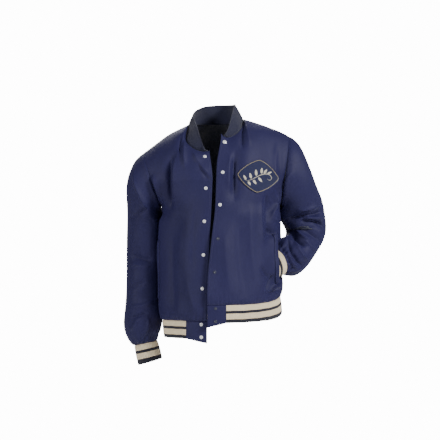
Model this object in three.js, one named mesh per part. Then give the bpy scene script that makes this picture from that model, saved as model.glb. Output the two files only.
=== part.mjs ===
// A varsity jacket held in its worn form: open snap front, set-in sleeves, stand collar, ribbed hem and cuffs.
// Millimetres. +X is the wearer's left, -Y the front, +Z up. The origin is the middle of the neck's base.
import * as THREE from "three";

// Driving dimensions
const CLOTH = 2.0; // thickness of the body cloth
const RIB_CLOTH = 2.6; // thickness of the knit bands, from the plain inside to the foot of a rib
const RIB_RISE = 0.9; // height of a rib above its foot
const RIB_PITCH = 7.5; // one rib and its furrow
const SEAM_SHARE = 0.22; // how far each piece stops short of a seam line
const LAID_ON = 0.5; // clearance under what is sewn on a panel
const FULL_FRONT = 1.75; // how squarely a section leaves the front or back: 1.57 is a true ellipse

// Grid steps across and up each panel
const NECK_STEPS = 7; // front edge to shoulder point of the neck
const BACK_NECK_STEPS = 3; // centre back to shoulder point of the neck
const SHOULDER_STEPS = 6; // neck to armhole along the shoulder seam
const SIDE_STEPS = 16; // hem seam to armpit
const LOW_ARM_STEPS = 4; // armpit to the foremost point of the armhole
const HIGH_ARM_STEPS = 5; // foremost point of the armhole to the shoulder
const SLEEVE_STEPS = 22;
const FRONT_STEPS = NECK_STEPS + SHOULDER_STEPS;
const BACK_STEPS = BACK_NECK_STEPS + SHOULDER_STEPS;
const CHEST_ROW = SIDE_STEPS + LOW_ARM_STEPS;
const TOP_ROW = CHEST_ROW + HIGH_ARM_STEPS;
const SLEEVE_FRONT_SEAM = LOW_ARM_STEPS; // ring point of the front sleeve seam, counted from the armpit
const SLEEVE_BACK_SEAM = LOW_ARM_STEPS + 2 * HIGH_ARM_STEPS;

const HEM_TALL = 53; // the ribbed hem band
const HEM_END_TALL = 66; // its plain ends at the fronts
const HEM_LEAN = 7; // how far the sides of the band are carried towards the wearer's left on their way down
const HEM_LEAN_EASE = 8; // panel steps from the band's ends to its full lean
const HEM_END_STEPS = { right: 4, left: 2 }; // panel steps that each plain end covers
const ARM_GAP = 6; // clearance between a sleeve and the body cloth beside it
const PRESS_AT_ARMHOLE = 3; // the most that a sleeve presses the cloth in above the armpit
const PRESS_MOST = 60; // the most that it does so below
const SNAP = { radius: 6, height: 3.2, sides: 10, clear: 0.7, fromSeam: 9, fromHem: 19 };
const BADGE = { x: 122, z: -172, halfWide: 62, halfTall: 49, turn: 0.09, lobe: 1.35, thick: 1.6, under: 1.1 };
const POCKET = { column: 10, low: 4, high: 10 }; // grid lines of the pocket slit in the left front
// The hand moves the slit's two edges in x and y.
const SLIT = { lip: [2, -22], rear: [-24, 44], spread: 2.2, press: [0.2, -0.98] };
const FOREARM = { z: -320, ease: 50 }; // below this height the left forearm lies before the side seam

const COLOURS = { navy: 0x2b3055, teal: 0x27314a, cream: 0xded6be, felt: 0x232748, metal: 0xd8d6d0 };

const v3 = (x, y, z) => new THREE.Vector3(x, y, z);
const mix = (a, b, t) => a + (b - a) * t;
const clamp01 = (t) => Math.min(1, Math.max(0, t));
const smooth = (t) => clamp01(t) ** 2 * (3 - 2 * clamp01(t));
const rowAt = (surface, i) => Math.floor(i / surface.across);
const columnAt = (surface, i) => i % surface.across;

// A table of named columns: each row becomes an object.
function table(columns, rows) {
  const names = columns.split(" ");
  return rows.map((row) => Object.fromEntries(names.map((name, i) => [name, row[i]])));
}

// The row at a fractional place in a table, on smooth curves through its rows.
function tableRow(rows, place) {
  const last = rows.length - 1;
  const i = Math.min(last - 1, Math.max(0, Math.floor(place)));
  const t = place - i;
  const at = (k) => rows[Math.min(last, Math.max(0, k))];
  const out = {};
  for (const name of Object.keys(rows[0])) {
    const [a, b, c, d] = [at(i - 1)[name], at(i)[name], at(i + 1)[name], at(i + 2)[name]];
    out[name] = b + 0.5 * t * (c - a + t * (2 * a - 5 * b + 4 * c - d + t * (3 * (b - c) + d - a)));
  }
  return out;
}

// The sections of each front from the hem seam up to the armpit row, with the chest row last.
// The side point of the chest row is the foremost point of the armhole.
const FRONT_ROWS = {
  right: table("edgeX edgeZ frontY sideX sideY sideZ swell backY", [
    [-29, -601, -146, -152, 18, -609, 20, 122],
    [-29, -574, -154, -157, 20, -581, 30, 134],
    [-27, -494, -151, -150, 21, -498, 40, 133],
    [-24, -416, -149, -148, 22, -418, 41, 130],
    [-21, -350, -147, -150, 20, -350, 36, 133],
    [-18, -300, -145, -160, 14, -300, 24, 138],
    [-16, -262, -144, -171, 7, -262, 6, 142],
    [-13, -178, -142, -199, -81, -180, 0, 146],
  ]),
  left: table("edgeX edgeZ frontY sideX sideY sideZ swell backY", [
    [-29, -553, -162, 193, 12, -531, 0, 122],
    [-29, -528, -166, 202, 14, -504, 0, 134],
    [-27, -466, -163, 199, 15, -445, 0, 133],
    [-21, -400, -159, 196, 15, -385, 0, 130],
    [-13, -330, -153, 196, 13, -330, 0, 133],
    [-8, -290, -149, 196, 10, -290, 0, 138],
    [-5, -252, -147, 194, 8, -256, 0, 142],
    [-2, -160, -143, 207, -66, -151, 0, 146],
  ]),
};

const ARMHOLES = {
  right: { top: v3(-226, 5, -98), bottom: v3(-171, 7, -262), front: 88, back: 92 },
  left: { top: v3(220, 2, -46), bottom: v3(194, 8, -256), front: 72, back: 80 },
};

// The neckline of each front, from the front edge's corner to the neck point of the shoulder.
const NECKLINES = {
  right: table("x y z", [
    [-22, -100, -93],
    [-39, -103, -98],
    [-73, -93, -86],
    [-95, -58, -55],
    [-85, 8, -8],
  ]),
  left: table("x y z", [
    [13, -98, -43],
    [28, -96, -55],
    [53, -84, -47],
    [74, -50, -23],
    [80, 12, 8],
  ]),
};
const BACK_NECK = { x: -6, y: 78, z: -2 };

// The collar's free edge, from its front end to the neck point.
const COLLAR_EDGES = {
  right: table("x y z", [
    [-39, -108, -90],
    [-50, -98, -57],
    [-60, -70, -23],
    [-73, -4, 17],
  ]),
  left: table("x y z", [
    [25, -101, -47],
    [34, -90, -27],
    [44, -56, 15],
    [56, -2, 52],
  ]),
};
const COLLAR_BACK = { x: -4, y: 66, z: 54 };
const COLLAR_ROWS = 3;
const COLLAR_ROLL = 1.5; // how far the collar rolls outwards between its seam and its free edge

// Each sleeve's rings: the point on its outer side, the point on its inner side, and half its depth.
const SLEEVE_RINGS = {
  right: table("outX outY outZ inX inY inZ deep", [
    [-226, 5, -98, -171, 7, -262, 90],
    [-248, 5, -116, -173, 7, -266, 89],
    [-263, 6, -148, -174, 8, -273, 86],
    [-272, 10, -190, -169, 12, -284, 82],
    [-276, 17, -240, -161, 20, -303, 76],
    [-278, 25, -300, -161, 28, -334, 71],
    [-279, 28, -370, -162, 31, -382, 68],
    [-278, 29, -440, -161, 31, -444, 66],
    [-279, 27, -510, -162, 29, -508, 65],
    [-282, 24, -570, -164, 25, -562, 64],
    [-285, 22, -612, -168, 22, -600, 63],
    [-281, 20, -646, -173, 20, -632, 59],
    [-270, 19, -671, -180, 19, -653, 51],
    [-254, 18, -688, -183, 18, -671, 42],
  ]),
  left: table("outX outY outZ inX inY inZ deep", [
    [220, 2, -46, 194, 8, -256, 76],
    [243, 2, -61, 199, 8, -258, 77],
    [262, 5, -90, 202, 10, -264, 76],
    [280, 12, -127, 203, 15, -274, 73],
    [298, 24, -172, 204, 26, -286, 69],
    [318, 38, -222, 206, 37, -299, 66],
    [334, 54, -275, 209, 48, -312, 64],
    [339, 66, -325, 213, 54, -325, 63],
    [331, 63, -364, 216, 50, -338, 61],
    [313, 50, -398, 215, 38, -350, 58],
    [290, 32, -430, 209, 20, -360, 55],
    [262, 11, -457, 201, -1, -370, 51],
    [233, -10, -471, 190, -20, -381, 43],
    [202, -29, -468, 176, -37, -391, 33],
  ]),
};
// The open end of each cuff, in the same columns.
const CUFF_ENDS = {
  right: { outX: -241, outY: 15, outZ: -747, inX: -169, inY: 15, inZ: -726, deep: 40 },
  left: { outX: 154, outY: -60, outZ: -487, inX: 130, inY: -64, inZ: -414, deep: 29 },
};

// Long soft folds seen from the front or the back: a ridge has a positive height, a trough a negative one.
const FOLDS = table("x0 z0 x1 z1 wide high facing", [
  [-196, -150, -170, -232, 13, 6, -1],
  [-140, -105, -138, -262, 14, -8, -1],
  [-111, -60, -108, -112, 12, -4, -1],
  [-70, -92, -26, -170, 12, 4, -1],
  [-256, -150, -212, -268, 15, 6, -1],
  [-235, -330, -190, -300, 14, -5, -1],
  [-262, -400, -200, -428, 15, -6, -1],
  [-255, -475, -205, -455, 13, 4, -1],
  [-262, -545, -205, -520, 15, -5, -1],
  [-120, -300, -128, -560, 20, -6, -1],
  [-75, -250, -80, -480, 22, 4, -1],
  [55, -90, 52, -245, 16, -5, -1],
  [176, -214, 160, -300, 14, -7, -1],
  [228, -150, 172, -300, 14, 6, -1],
  [190, -70, 186, -130, 11, -4, -1],
  [330, -268, 300, -275, 12, -7, -1],
  [300, -275, 222, -300, 13, -8, -1],
  [330, -320, 250, -312, 12, -6, -1],
  [272, -385, 228, -345, 12, -6, -1],
  [264, -440, 224, -372, 11, -6, -1],
  [118, -260, 132, -520, 22, 5, -1],
  [70, -300, 84, -540, 20, -5, -1],
  [150, -330, 172, -350, 12, -5, -1],
  [176, -480, 150, -530, 12, -5, -1],
  [-60, -120, -150, -300, 20, -6, 1],
  [-20, -190, -60, -520, 26, 5, 1],
  [70, -110, 150, -300, 20, -6, 1],
  [40, -220, 96, -520, 26, -6, 1],
  [-120, -320, -112, -560, 20, -6, 1],
  [140, -340, 128, -520, 18, 5, 1],
  [-262, -360, -190, -390, 15, -6, 1],
  [-262, -470, -200, -450, 14, -5, 1],
  [330, -270, 240, -250, 15, -6, 1],
  [330, -330, 240, -330, 14, -7, 1],
  [300, -400, 236, -350, 13, -6, 1],
]);
const GATHER = { hem: 2.2, cuff: 2.6 }; // height of the small gathers that the bands draw up

function foldHeight(point, normal) {
  let sum = 0;
  for (const fold of FOLDS) {
    const facing = smooth((normal.y * fold.facing - 0.05) / 0.4);
    if (!facing) continue;
    const [dx, dz] = [fold.x1 - fold.x0, fold.z1 - fold.z0];
    const long = Math.hypot(dx, dz);
    const along = ((point.x - fold.x0) * dx + (point.z - fold.z0) * dz) / long;
    const off = ((point.x - fold.x0) * dz - (point.z - fold.z0) * dx) / long;
    const begin = smooth((along + fold.wide) / (2 * fold.wide));
    const end = smooth((long + fold.wide - along) / (2 * fold.wide));
    sum += facing * begin * end * fold.high * Math.exp(-((off / fold.wide) ** 2));
  }
  return sum;
}

// A surface: points with faces of three or four corners, facing out.
function gridSurface(rows, { turned = false, round = false } = {}) {
  const across = rows[0].length;
  const points = rows.flat();
  const faces = [];
  const last = round ? across : across - 1;
  for (let i = 0; i + 1 < rows.length; i++) {
    for (let j = 0; j < last; j++) {
      const k = (j + 1) % across;
      const face = [i * across + j, i * across + k, (i + 1) * across + k, (i + 1) * across + j];
      faces.push(turned ? face.reverse() : face);
    }
  }
  return { points, faces, across };
}

function surfaceNormals({ points, faces }) {
  const normals = points.map(() => v3(0, 0, 0));
  for (const face of faces) {
    const [a, b, c] = face.map((i) => points[i]);
    const d = points[face[face.length - 1]];
    const n = c.clone().sub(a).cross(d.clone().sub(b));
    if (face.length === 3) n.copy(b).sub(a).cross(c.clone().sub(a));
    for (const i of face) normals[i].add(n);
  }
  return normals.map((n) => n.normalize());
}

// Moves every point of a surface along its normal.
function raise(surface, height) {
  const normals = surfaceNormals(surface);
  surface.points.forEach((p, i) => p.addScaledVector(normals[i], height(p, normals[i], i)));
}

// The open edges of a surface, in the direction of their faces.
function openEdges({ faces }) {
  const seen = new Map();
  for (const face of faces) {
    face.forEach((a, i) => {
      const b = face[(i + 1) % face.length];
      if (!seen.delete(`${b} ${a}`)) seen.set(`${a} ${b}`, [a, b]);
    });
  }
  return [...seen.values()];
}

// Directions across each seam, shared by the pieces that meet there.
const placeKey = (p) => [p.x, p.y, p.z].map((c) => Math.round(c * 50)).join(" ");
function shareSeams(surfaces) {
  const shared = new Map();
  for (const surface of surfaces) {
    surface.normals = surfaceNormals(surface);
    surface.edges = openEdges(surface);
    for (const i of new Set(surface.edges.flat())) {
      const key = placeKey(surface.points[i]);
      shared.set(key, (shared.get(key) ?? v3(0, 0, 0)).add(surface.normals[i]));
    }
  }
  for (const surface of surfaces) {
    for (const i of new Set(surface.edges.flat())) {
      surface.normals[i] = shared.get(placeKey(surface.points[i])).clone().normalize();
    }
  }
}

// A closed wall: the surface is its outside, and the inside lies one thickness behind it.
function wall(surface, thick, { from = 0, rise = () => 0 } = {}) {
  const normals = surface.normals ?? surfaceNormals(surface);
  const edges = surface.edges ?? openEdges(surface);
  const inwards = new Map();
  for (const [a, b] of edges) {
    const along = surface.points[b].clone().sub(surface.points[a]);
    for (const i of [a, b]) {
      const w = normals[i].clone().cross(along).normalize();
      inwards.set(i, [...(inwards.get(i) ?? []), w]);
    }
  }
  const base = surface.points.map((p, i) => {
    const w = inwards.get(i);
    if (!w) return p.clone();
    const sum = w.reduce((s, x) => s.add(x), v3(0, 0, 0));
    return p.clone().addScaledVector(sum, SEAM_SHARE / (1 + (w[1] ? w[0].dot(w[1]) : 0)));
  });
  const outer = base.map((p, i) => p.clone().addScaledVector(normals[i], from + rise(i)));
  const inner = base.map((p, i) => p.clone().addScaledVector(normals[i], from - thick));
  const n = base.length;
  const triangles = [];
  const quad = (a, b, c, d) => triangles.push(a, b, c, a, c, d);
  for (const face of surface.faces) {
    if (face.length === 3) {
      triangles.push(...face, ...face.map((i) => i + n).reverse());
    } else {
      quad(...face);
      const [a, b, c, d] = face.map((i) => i + n);
      triangles.push(a, c, b, a, d, c);
    }
  }
  for (const [a, b] of edges) quad(b, a, a + n, b + n);
  const places = [...outer, ...inner].flatMap((p) => [p.x, p.y, p.z]);
  const geometry = new THREE.BufferGeometry();
  geometry.setAttribute("position", new THREE.Float32BufferAttribute(places, 3));
  geometry.setIndex(triangles);
  geometry.computeVertexNormals();
  return geometry;
}

const jacket = new THREE.Group();
const FINISHES = {
  twill: new THREE.MeshStandardMaterial({ color: COLOURS.navy, roughness: 0.62, metalness: 0 }),
  collar: new THREE.MeshStandardMaterial({ color: COLOURS.teal, roughness: 0.8, metalness: 0 }),
  rib: new THREE.MeshStandardMaterial({ color: COLOURS.cream, roughness: 0.9, metalness: 0 }),
  felt: new THREE.MeshStandardMaterial({ color: COLOURS.felt, roughness: 0.95, metalness: 0 }),
  metal: new THREE.MeshStandardMaterial({ color: COLOURS.metal, roughness: 0.25, metalness: 0.9 }),
};
function add(name, geometry, finish) {
  const mesh = new THREE.Mesh(geometry, finish);
  mesh.name = name;
  jacket.add(mesh);
  return mesh;
}

// The armhole as a closed ring from the armpit over the front, the shoulder and the back.
function armholeRing(side) {
  const { top, bottom, front, back } = ARMHOLES[side];
  const centre = top.clone().add(bottom).multiplyScalar(0.5);
  const up = top.clone().sub(centre);
  const at = (angle, deep) =>
    centre.clone().addScaledVector(up, -Math.cos(angle)).add(v3(0, deep * Math.sin(angle), 0));
  const angles = [];
  for (let i = 0; i < LOW_ARM_STEPS; i++) angles.push(((i / LOW_ARM_STEPS) * Math.PI) / 2);
  for (let i = 0; i < HIGH_ARM_STEPS; i++) angles.push(((1 + i / HIGH_ARM_STEPS) * Math.PI) / 2);
  const down = angles.slice(1).reverse();
  const rise = angles.map((a) => at(a, -front));
  const fall = [Math.PI, ...down].map((a) => at(a, back));
  return { points: [...rise, ...fall], angles: [...angles, Math.PI, ...down.map((a) => 2 * Math.PI - a)] };
}
const RINGS = { right: armholeRing("right"), left: armholeRing("left") };
const armholePoint = (side, step, facing) => {
  const { points } = RINGS[side];
  return points[facing < 0 ? step : (points.length - step) % points.length].clone();
};

const centreOf = (row) => v3((row.outX + row.inX) / 2, (row.outY + row.inY) / 2, (row.outZ + row.inZ) / 2);

// The frame of a ring of a sleeve or cuff: its centre, its long half axis and its unit front axis.
function ringFrame(row, path, side) {
  const centre = centreOf(row);
  const long = v3(row.outX, row.outY, row.outZ).sub(centre);
  const front = long.clone().normalize().cross(path).normalize().multiplyScalar(side === "left" ? -1 : 1);
  return { centre, long, front, path, deep: row.deep };
}

// The sleeve's direction at a place, from the rings a third of a row before and after it
function sleevePath(side, place) {
  const rings = SLEEVE_RINGS[side];
  const near = 0.3;
  const ahead = centreOf(tableRow(rings, Math.min(place + near, rings.length - 1)));
  return ahead.sub(centreOf(tableRow(rings, Math.max(place - near, 0)))).normalize();
}

// A ring of a sleeve or cuff, its first point at the inner side.
function ring(row, path, side) {
  const { centre, long, front } = ringFrame(row, path, side);
  return RINGS[side].angles.map((a) =>
    centre.clone().addScaledVector(long, -Math.cos(a)).addScaledVector(front, row.deep * Math.sin(a)));
}

// The space that each arm takes, as closely spaced ring frames down the sleeve and its cuff
const SLAB = 9; // half the length of arm that each frame stands for
function armSpace(side) {
  const rings = SLEEVE_RINGS[side];
  const last = rings[rings.length - 1];
  const frames = [];
  const first = 0.75;
  for (let place = first; place < rings.length - 1; place += 0.25) {
    frames.push(ringFrame(tableRow(rings, place), sleevePath(side, place), side));
  }
  const path = centreOf(CUFF_ENDS[side]).sub(centreOf(last)).normalize();
  const cuff = [last, CUFF_ENDS[side]];
  for (let t = 0; t <= 1; t += 0.125) frames.push(ringFrame(tableRow(cuff, t), path, side));
  return frames;
}
const ARM_SPACES = { right: armSpace("right"), left: armSpace("left") };

function insideArm(side, p, gap) {
  return ARM_SPACES[side].some(({ centre, long, front, path, deep }) => {
    const q = p.clone().sub(centre);
    if (Math.abs(q.dot(path)) > SLAB) return false;
    const half = long.length();
    return (q.dot(long) / half / (half + gap)) ** 2 + (q.dot(front) / (deep + gap)) ** 2 < 1;
  });
}

// The arm presses the body cloth in: a point moves in small steps until it clears the sleeve.
function pressClear(side, p, direction, most = PRESS_MOST) {
  const fromSeam = Math.min(...RINGS[side].points.map((q) => q.distanceTo(p)));
  const gap = Math.min(ARM_GAP, 0.2 * fromSeam);
  for (let step = 0; step < most && insideArm(side, p, gap); step++) p.add(direction);
}
function pressPanel(surface, side, skip = () => false) {
  surface.points.forEach((p, i) => {
    if (skip(i) || Math.sign(p.x) !== (side === "left" ? 1 : -1)) return;
    const row = rowAt(surface, i);
    if (row >= CHEST_ROW && row <= TOP_ROW) return;
    const forearm = side === "left" ? smooth((FOREARM.z - p.z) / FOREARM.ease) : 0;
    const direction = v3(p.x, p.y * 0.4, 0).normalize().negate().lerp(v3(-0.5, 0.87, 0), forearm);
    const besideArmhole = row >= SIDE_STEPS - 1 && row <= TOP_ROW;
    pressClear(side, p, direction, besideArmhole ? PRESS_AT_ARMHOLE : PRESS_MOST);
  });
}

function shoulderSeam(side, t) {
  const neck = tableRow(NECKLINES[side], NECKLINES[side].length - 1);
  const tip = ARMHOLES[side].top;
  return v3(mix(neck.x, tip.x, t), mix(neck.y, tip.y, t), mix(neck.z, tip.z, t) + 5 * Math.sin(Math.PI * t));
}

// The top edge of a front or of half the back, one point for each grid column.
function topEdge(side, facing) {
  const steps = facing < 0 ? NECK_STEPS : BACK_NECK_STEPS;
  const line = [];
  for (let j = 0; j < steps; j++) {
    if (facing < 0) {
      const p = tableRow(NECKLINES[side], (j / steps) * (NECKLINES[side].length - 1));
      line.push(v3(p.x, p.y, p.z));
    } else {
      const neck = shoulderSeam(side, 0);
      const turn = ((j / steps) * Math.PI) / 2;
      line.push(v3(
        mix(BACK_NECK.x, neck.x, Math.sin(turn)),
        mix(neck.y, BACK_NECK.y, Math.cos(turn)),
        mix(neck.z, BACK_NECK.z, Math.cos(turn)),
      ));
    }
  }
  for (let j = 0; j <= SHOULDER_STEPS; j++) line.push(shoulderSeam(side, j / SHOULDER_STEPS));
  return line;
}

// The section from the front edge, or the centre back, round to the side seam or armhole.
function section(start, end, swell, turned, steps) {
  const [dx, dy] = [end.x - start.x, end.y - start.y];
  const leave = v3(FULL_FRONT * dx, 0, 0);
  const arrive = v3(0.85 * dx * (1 - turned), dy * (1.57 - 0.2 * (1 - turned)), 0);
  const line = [];
  for (let j = 0; j <= steps; j++) {
    const t = j / steps;
    const p = start.clone().multiplyScalar(1 - t * t * (3 - 2 * t))
      .addScaledVector(end, t * t * (3 - 2 * t))
      .addScaledVector(leave, t * (1 - t) ** 2)
      .addScaledVector(arrive, t * t * (t - 1));
    p.x += Math.sign(dx) * swell * t ** 3 * (1 - t) * 9.48;
    p.z = mix(start.z, end.z, t ** 3);
    line.push(p);
  }
  return line;
}

// Half a torso: a front, or half the back, as rows from the hem seam to the neck and shoulder.
function torsoRows(wearer, facing) {
  const steps = facing < 0 ? FRONT_STEPS : BACK_STEPS;
  const sections = FRONT_ROWS[wearer];
  const other = FRONT_ROWS[wearer === "left" ? "right" : "left"];
  const rows = [];
  for (let i = 0; i <= CHEST_ROW; i++) {
    const low = Math.min(i / SIDE_STEPS, 1);
    const armStep = Math.max(0, i - SIDE_STEPS);
    const armpit = sections.length - 2;
    const place = i <= SIDE_STEPS ? low * armpit : armpit + armStep / LOW_ARM_STEPS;
    const row = tableRow(sections, place);
    const twin = tableRow(other, place);
    const start = facing < 0
      ? v3(row.edgeX, row.frontY, row.edgeZ)
      : v3(2, row.backY, 0.5 * (row.sideZ + twin.sideZ));
    const end = i < SIDE_STEPS ? v3(row.sideX, row.sideY, row.sideZ) : armholePoint(wearer, armStep, facing);
    const swell = facing < 0 ? row.swell : 0.35 * row.swell;
    rows.push(section(start, end, swell, 1 - smooth(armStep / LOW_ARM_STEPS), steps));
  }
  const chest = rows[CHEST_ROW];
  const top = topEdge(wearer, facing);
  const neckSteps = facing < 0 ? NECK_STEPS : BACK_NECK_STEPS;
  for (let i = 1; i <= HIGH_ARM_STEPS; i++) {
    const s = i / HIGH_ARM_STEPS;
    rows.push(top.map((t, j) => {
      if (j === steps) return armholePoint(wearer, LOW_ARM_STEPS + i, facing);
      const rounding = mix(0.25, 1, Math.min(1, j / neckSteps));
      const side = mix(smooth(s), Math.sin((s * Math.PI) / 2), (j / steps) ** 2);
      const back = mix(s, 1 - Math.cos((s * Math.PI) / 2), rounding);
      const up = mix(s, Math.sin((s * Math.PI) / 2), rounding);
      return v3(mix(chest[j].x, t.x, side), mix(chest[j].y, t.y, back), mix(chest[j].z, t.z, up));
    }));
  }
  return rows;
}

// How freely a grid point may move: seams keep their line.
const heldAtSeams = (row, column, columns) =>
  Math.min(1, 0.5 * row, 0.25 * (TOP_ROW - row), 0.5 * (columns - column));

function fold(surface, hold) {
  raise(surface, (p, n, i) => hold(i) * foldHeight(p, n));
}

// The left front is cut along a grid line for the pocket, and the hand holds the slit open.
function openPocket(surface) {
  const across = surface.across;
  const twins = new Map();
  for (let i = POCKET.low; i <= POCKET.high; i++) {
    const open = Math.sin((Math.PI * (i - POCKET.low)) / (POCKET.high - POCKET.low));
    for (let j = 0; j < across; j++) {
      const p = surface.points[i * across + j];
      const lip = POCKET.column - j;
      if (lip === 0 && open > 1e-6) {
        twins.set(i * across + j, surface.points.length);
        surface.points.push(v3(p.x + SLIT.rear[0] * open, p.y + SLIT.rear[1] * open, p.z));
      }
      if (lip < 0 || open < 1e-6) continue;
      const ease = open * Math.exp(-((lip / SLIT.spread) ** 2));
      p.add(v3(...SLIT.lip, 0).multiplyScalar(ease));
      pressClear("left", p, v3(...SLIT.press, 0));
    }
  }
  surface.faces = surface.faces.map((face) => {
    const rear = face.some((i) => columnAt(surface, i) > POCKET.column);
    return rear ? face.map((i) => twins.get(i) ?? i) : face;
  });
  surface.isLip = (i) => {
    const row = rowAt(surface, i);
    return row > POCKET.low && row < POCKET.high && columnAt(surface, i) <= POCKET.column;
  };
}

function frontSurface(side) {
  const surface = gridSurface(torsoRows(side, -1), { turned: side === "right" });
  const hold = (i) => heldAtSeams(rowAt(surface, i), columnAt(surface, i), FRONT_STEPS);
  fold(surface, hold);
  const gather = (p, n, i) => {
    const column = columnAt(surface, i);
    const inside = rowAt(surface, i) === 1 && column > 2 && column < FRONT_STEPS;
    return inside ? GATHER.hem * (column % 2 ? 1 : -1) : 0;
  };
  raise(surface, gather);
  if (side === "left") openPocket(surface);
  pressPanel(surface, side, surface.isLip);
  return surface;
}

function backSurface() {
  const right = torsoRows("right", 1);
  const left = torsoRows("left", 1);
  const rows = right.map((row, i) => [...row.slice(1).reverse(), ...left[i]]);
  const surface = gridSurface(rows, { turned: true });
  const columns = surface.across - 1;
  const hold = (i) => {
    const column = columnAt(surface, i);
    return heldAtSeams(rowAt(surface, i), Math.max(column, columns - column), columns);
  };
  fold(surface, hold);
  raise(surface, (p, n, i) => {
    const column = columnAt(surface, i);
    const inside = rowAt(surface, i) === 1 && column > 0 && column < columns;
    return inside ? GATHER.hem * (column % 2 ? 1 : -1) : 0;
  });
  pressPanel(surface, "right");
  pressPanel(surface, "left");
  return surface;
}

function sleeveSurface(side) {
  const rings = SLEEVE_RINGS[side];
  const rows = [RINGS[side].points.map((p) => p.clone())];
  for (let i = 1; i <= SLEEVE_STEPS; i++) {
    const place = (i / SLEEVE_STEPS) * (rings.length - 1);
    rows.push(ring(tableRow(rings, place), sleevePath(side, place), side));
  }
  const turned = side === "left";
  const surface = { ...gridSurface(rows, { round: true, turned }), turned };
  fold(surface, (i) => Math.min(1, 0.4 * rowAt(surface, i), 0.4 * (SLEEVE_STEPS - rowAt(surface, i))));
  raise(surface, (p, n, i) => {
    const left = SLEEVE_STEPS - rowAt(surface, i);
    return left === 1 || left === 2 ? (GATHER.cuff / left) * (i % 2 ? 1 : -1) : 0;
  });
  return surface;
}

// One cut piece of a sleeve: the strip of its ring points from one long seam to the other.
function sleevePiece(sleeve, from, to) {
  const rows = [];
  for (let i = 0; i <= SLEEVE_STEPS; i++) {
    const strip = [];
    const first = i * sleeve.across;
    for (let j = from; j <= to; j++) strip.push(sleeve.points[first + (j % sleeve.across)].clone());
    rows.push(strip);
  }
  return gridSurface(rows, { turned: sleeve.turned });
}

// A knit band from a line of seam points: rises and furrows alternate along it.
function band(line, across, down, { round = false, ribbed = true } = {}) {
  const top = [];
  const last = round ? line.length : line.length - 1;
  const ups = [];
  for (let i = 0; i < last; i++) {
    const [a, b] = [line[i], line[(i + 1) % line.length]];
    const [m, n] = [across[i], across[(i + 1) % line.length]];
    const parts = ribbed ? 2 * Math.max(1, Math.round(a.distanceTo(b) / RIB_PITCH)) : 1;
    for (let k = 0; k < parts; k++) {
      const t = k / parts;
      top.push({ p: a.clone().lerp(b, t), n: m.clone().lerp(n, t).normalize(), at: i + t });
      ups.push(ribbed && k % 2 === 1 ? RIB_RISE : 0);
    }
  }
  if (!round) {
    top.push({ p: line[last].clone(), n: across[last], at: last });
    ups.push(0);
  }
  const rows = [top.map(({ p, at }) => p.clone().add(down(at))), top.map(({ p }) => p.clone())];
  return { rows, normals: [...top, ...top].map(({ n }) => n), rise: (i) => ups[i % top.length] };
}

// Panels, and sleeves in two pieces each: the top sleeve over the arm and the under sleeve beneath it
const sleeves = { right: sleeveSurface("right"), left: sleeveSurface("left") };
const surfaces = {
  front_right: frontSurface("right"),
  front_left: frontSurface("left"),
  back: backSurface(),
};
for (const [side, sleeve] of Object.entries(sleeves)) {
  surfaces[`topsleeve_${side}`] = sleevePiece(sleeve, SLEEVE_FRONT_SEAM, SLEEVE_BACK_SEAM);
  const round = sleeve.across;
  surfaces[`undersleeve_${side}`] = sleevePiece(sleeve, SLEEVE_BACK_SEAM, SLEEVE_FRONT_SEAM + round);
}

// The collar stands on the neckline, from just inside one front edge to the other.
function collarSurface() {
  const half = (side) => {
    const neck = topEdge(side, -1).slice(1, NECK_STEPS + 1);
    const edges = COLLAR_EDGES[side];
    const free = neck.map((p, j) => {
      const q = tableRow(edges, (j / (neck.length - 1)) * (edges.length - 1));
      return v3(q.x, q.y, q.z);
    });
    return { neck, free };
  };
  const behind = (side) => {
    const neck = topEdge(side, 1).slice(0, BACK_NECK_STEPS);
    const end = COLLAR_EDGES[side][COLLAR_EDGES[side].length - 1];
    const free = neck.map((p, j) => {
      const turn = ((j / BACK_NECK_STEPS) * Math.PI) / 2;
      const [side, rear] = [Math.sin(turn), Math.cos(turn)];
      const middle = COLLAR_BACK;
      return v3(mix(middle.x, end.x, side), mix(end.y, middle.y, rear), mix(end.z, middle.z, rear));
    });
    return { neck, free };
  };
  const [a, b, c, d] = [half("right"), behind("right"), behind("left"), half("left")];
  const line = (key) => [...a[key], ...b[key].reverse(), ...c[key].slice(1), ...d[key].reverse()];
  const [neck, free] = [line("neck"), line("free")];
  const rows = [];
  for (let i = 0; i <= COLLAR_ROWS; i++) {
    const t = i / COLLAR_ROWS;
    rows.push(neck.map((p, j) => p.clone().lerp(free[j], t)));
  }
  const surface = gridSurface(rows, { turned: true });
  raise(surface, (p, n, i) => COLLAR_ROLL * Math.sin((Math.PI * rowAt(surface, i)) / COLLAR_ROWS));
  return surface;
}
surfaces.collar = collarSurface();
shareSeams(Object.values(surfaces));

// Where a band is sewn on, the cloth's edge is cut square to the seam line.
function squareEdge(surface, row, direction) {
  for (let j = 0; j < surface.across; j++) {
    const i = row * surface.across + j;
    surface.normals[i] = direction(surface.normals[i], i);
  }
}
const level = (n) => v3(n.x, n.y, 0).normalize();
for (const name of ["front_right", "front_left", "back"]) squareEdge(surfaces[name], 0, level);
const sleeveEnd = (side) => SLEEVE_RINGS[side][SLEEVE_RINGS[side].length - 1];
for (const side of ["right", "left"]) {
  const centre = centreOf(sleeveEnd(side));
  for (const piece of ["topsleeve", "undersleeve"]) {
    const surface = surfaces[`${piece}_${side}`];
    squareEdge(surface, SLEEVE_STEPS, (n, i) => surface.points[i].clone().sub(centre).normalize());
  }
}
for (const [name, surface] of Object.entries(surfaces)) {
  const finish = name === "collar" ? FINISHES.collar : FINISHES.twill;
  add(name, wall(surface, name === "collar" ? RIB_CLOTH : CLOTH), finish);
}

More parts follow.
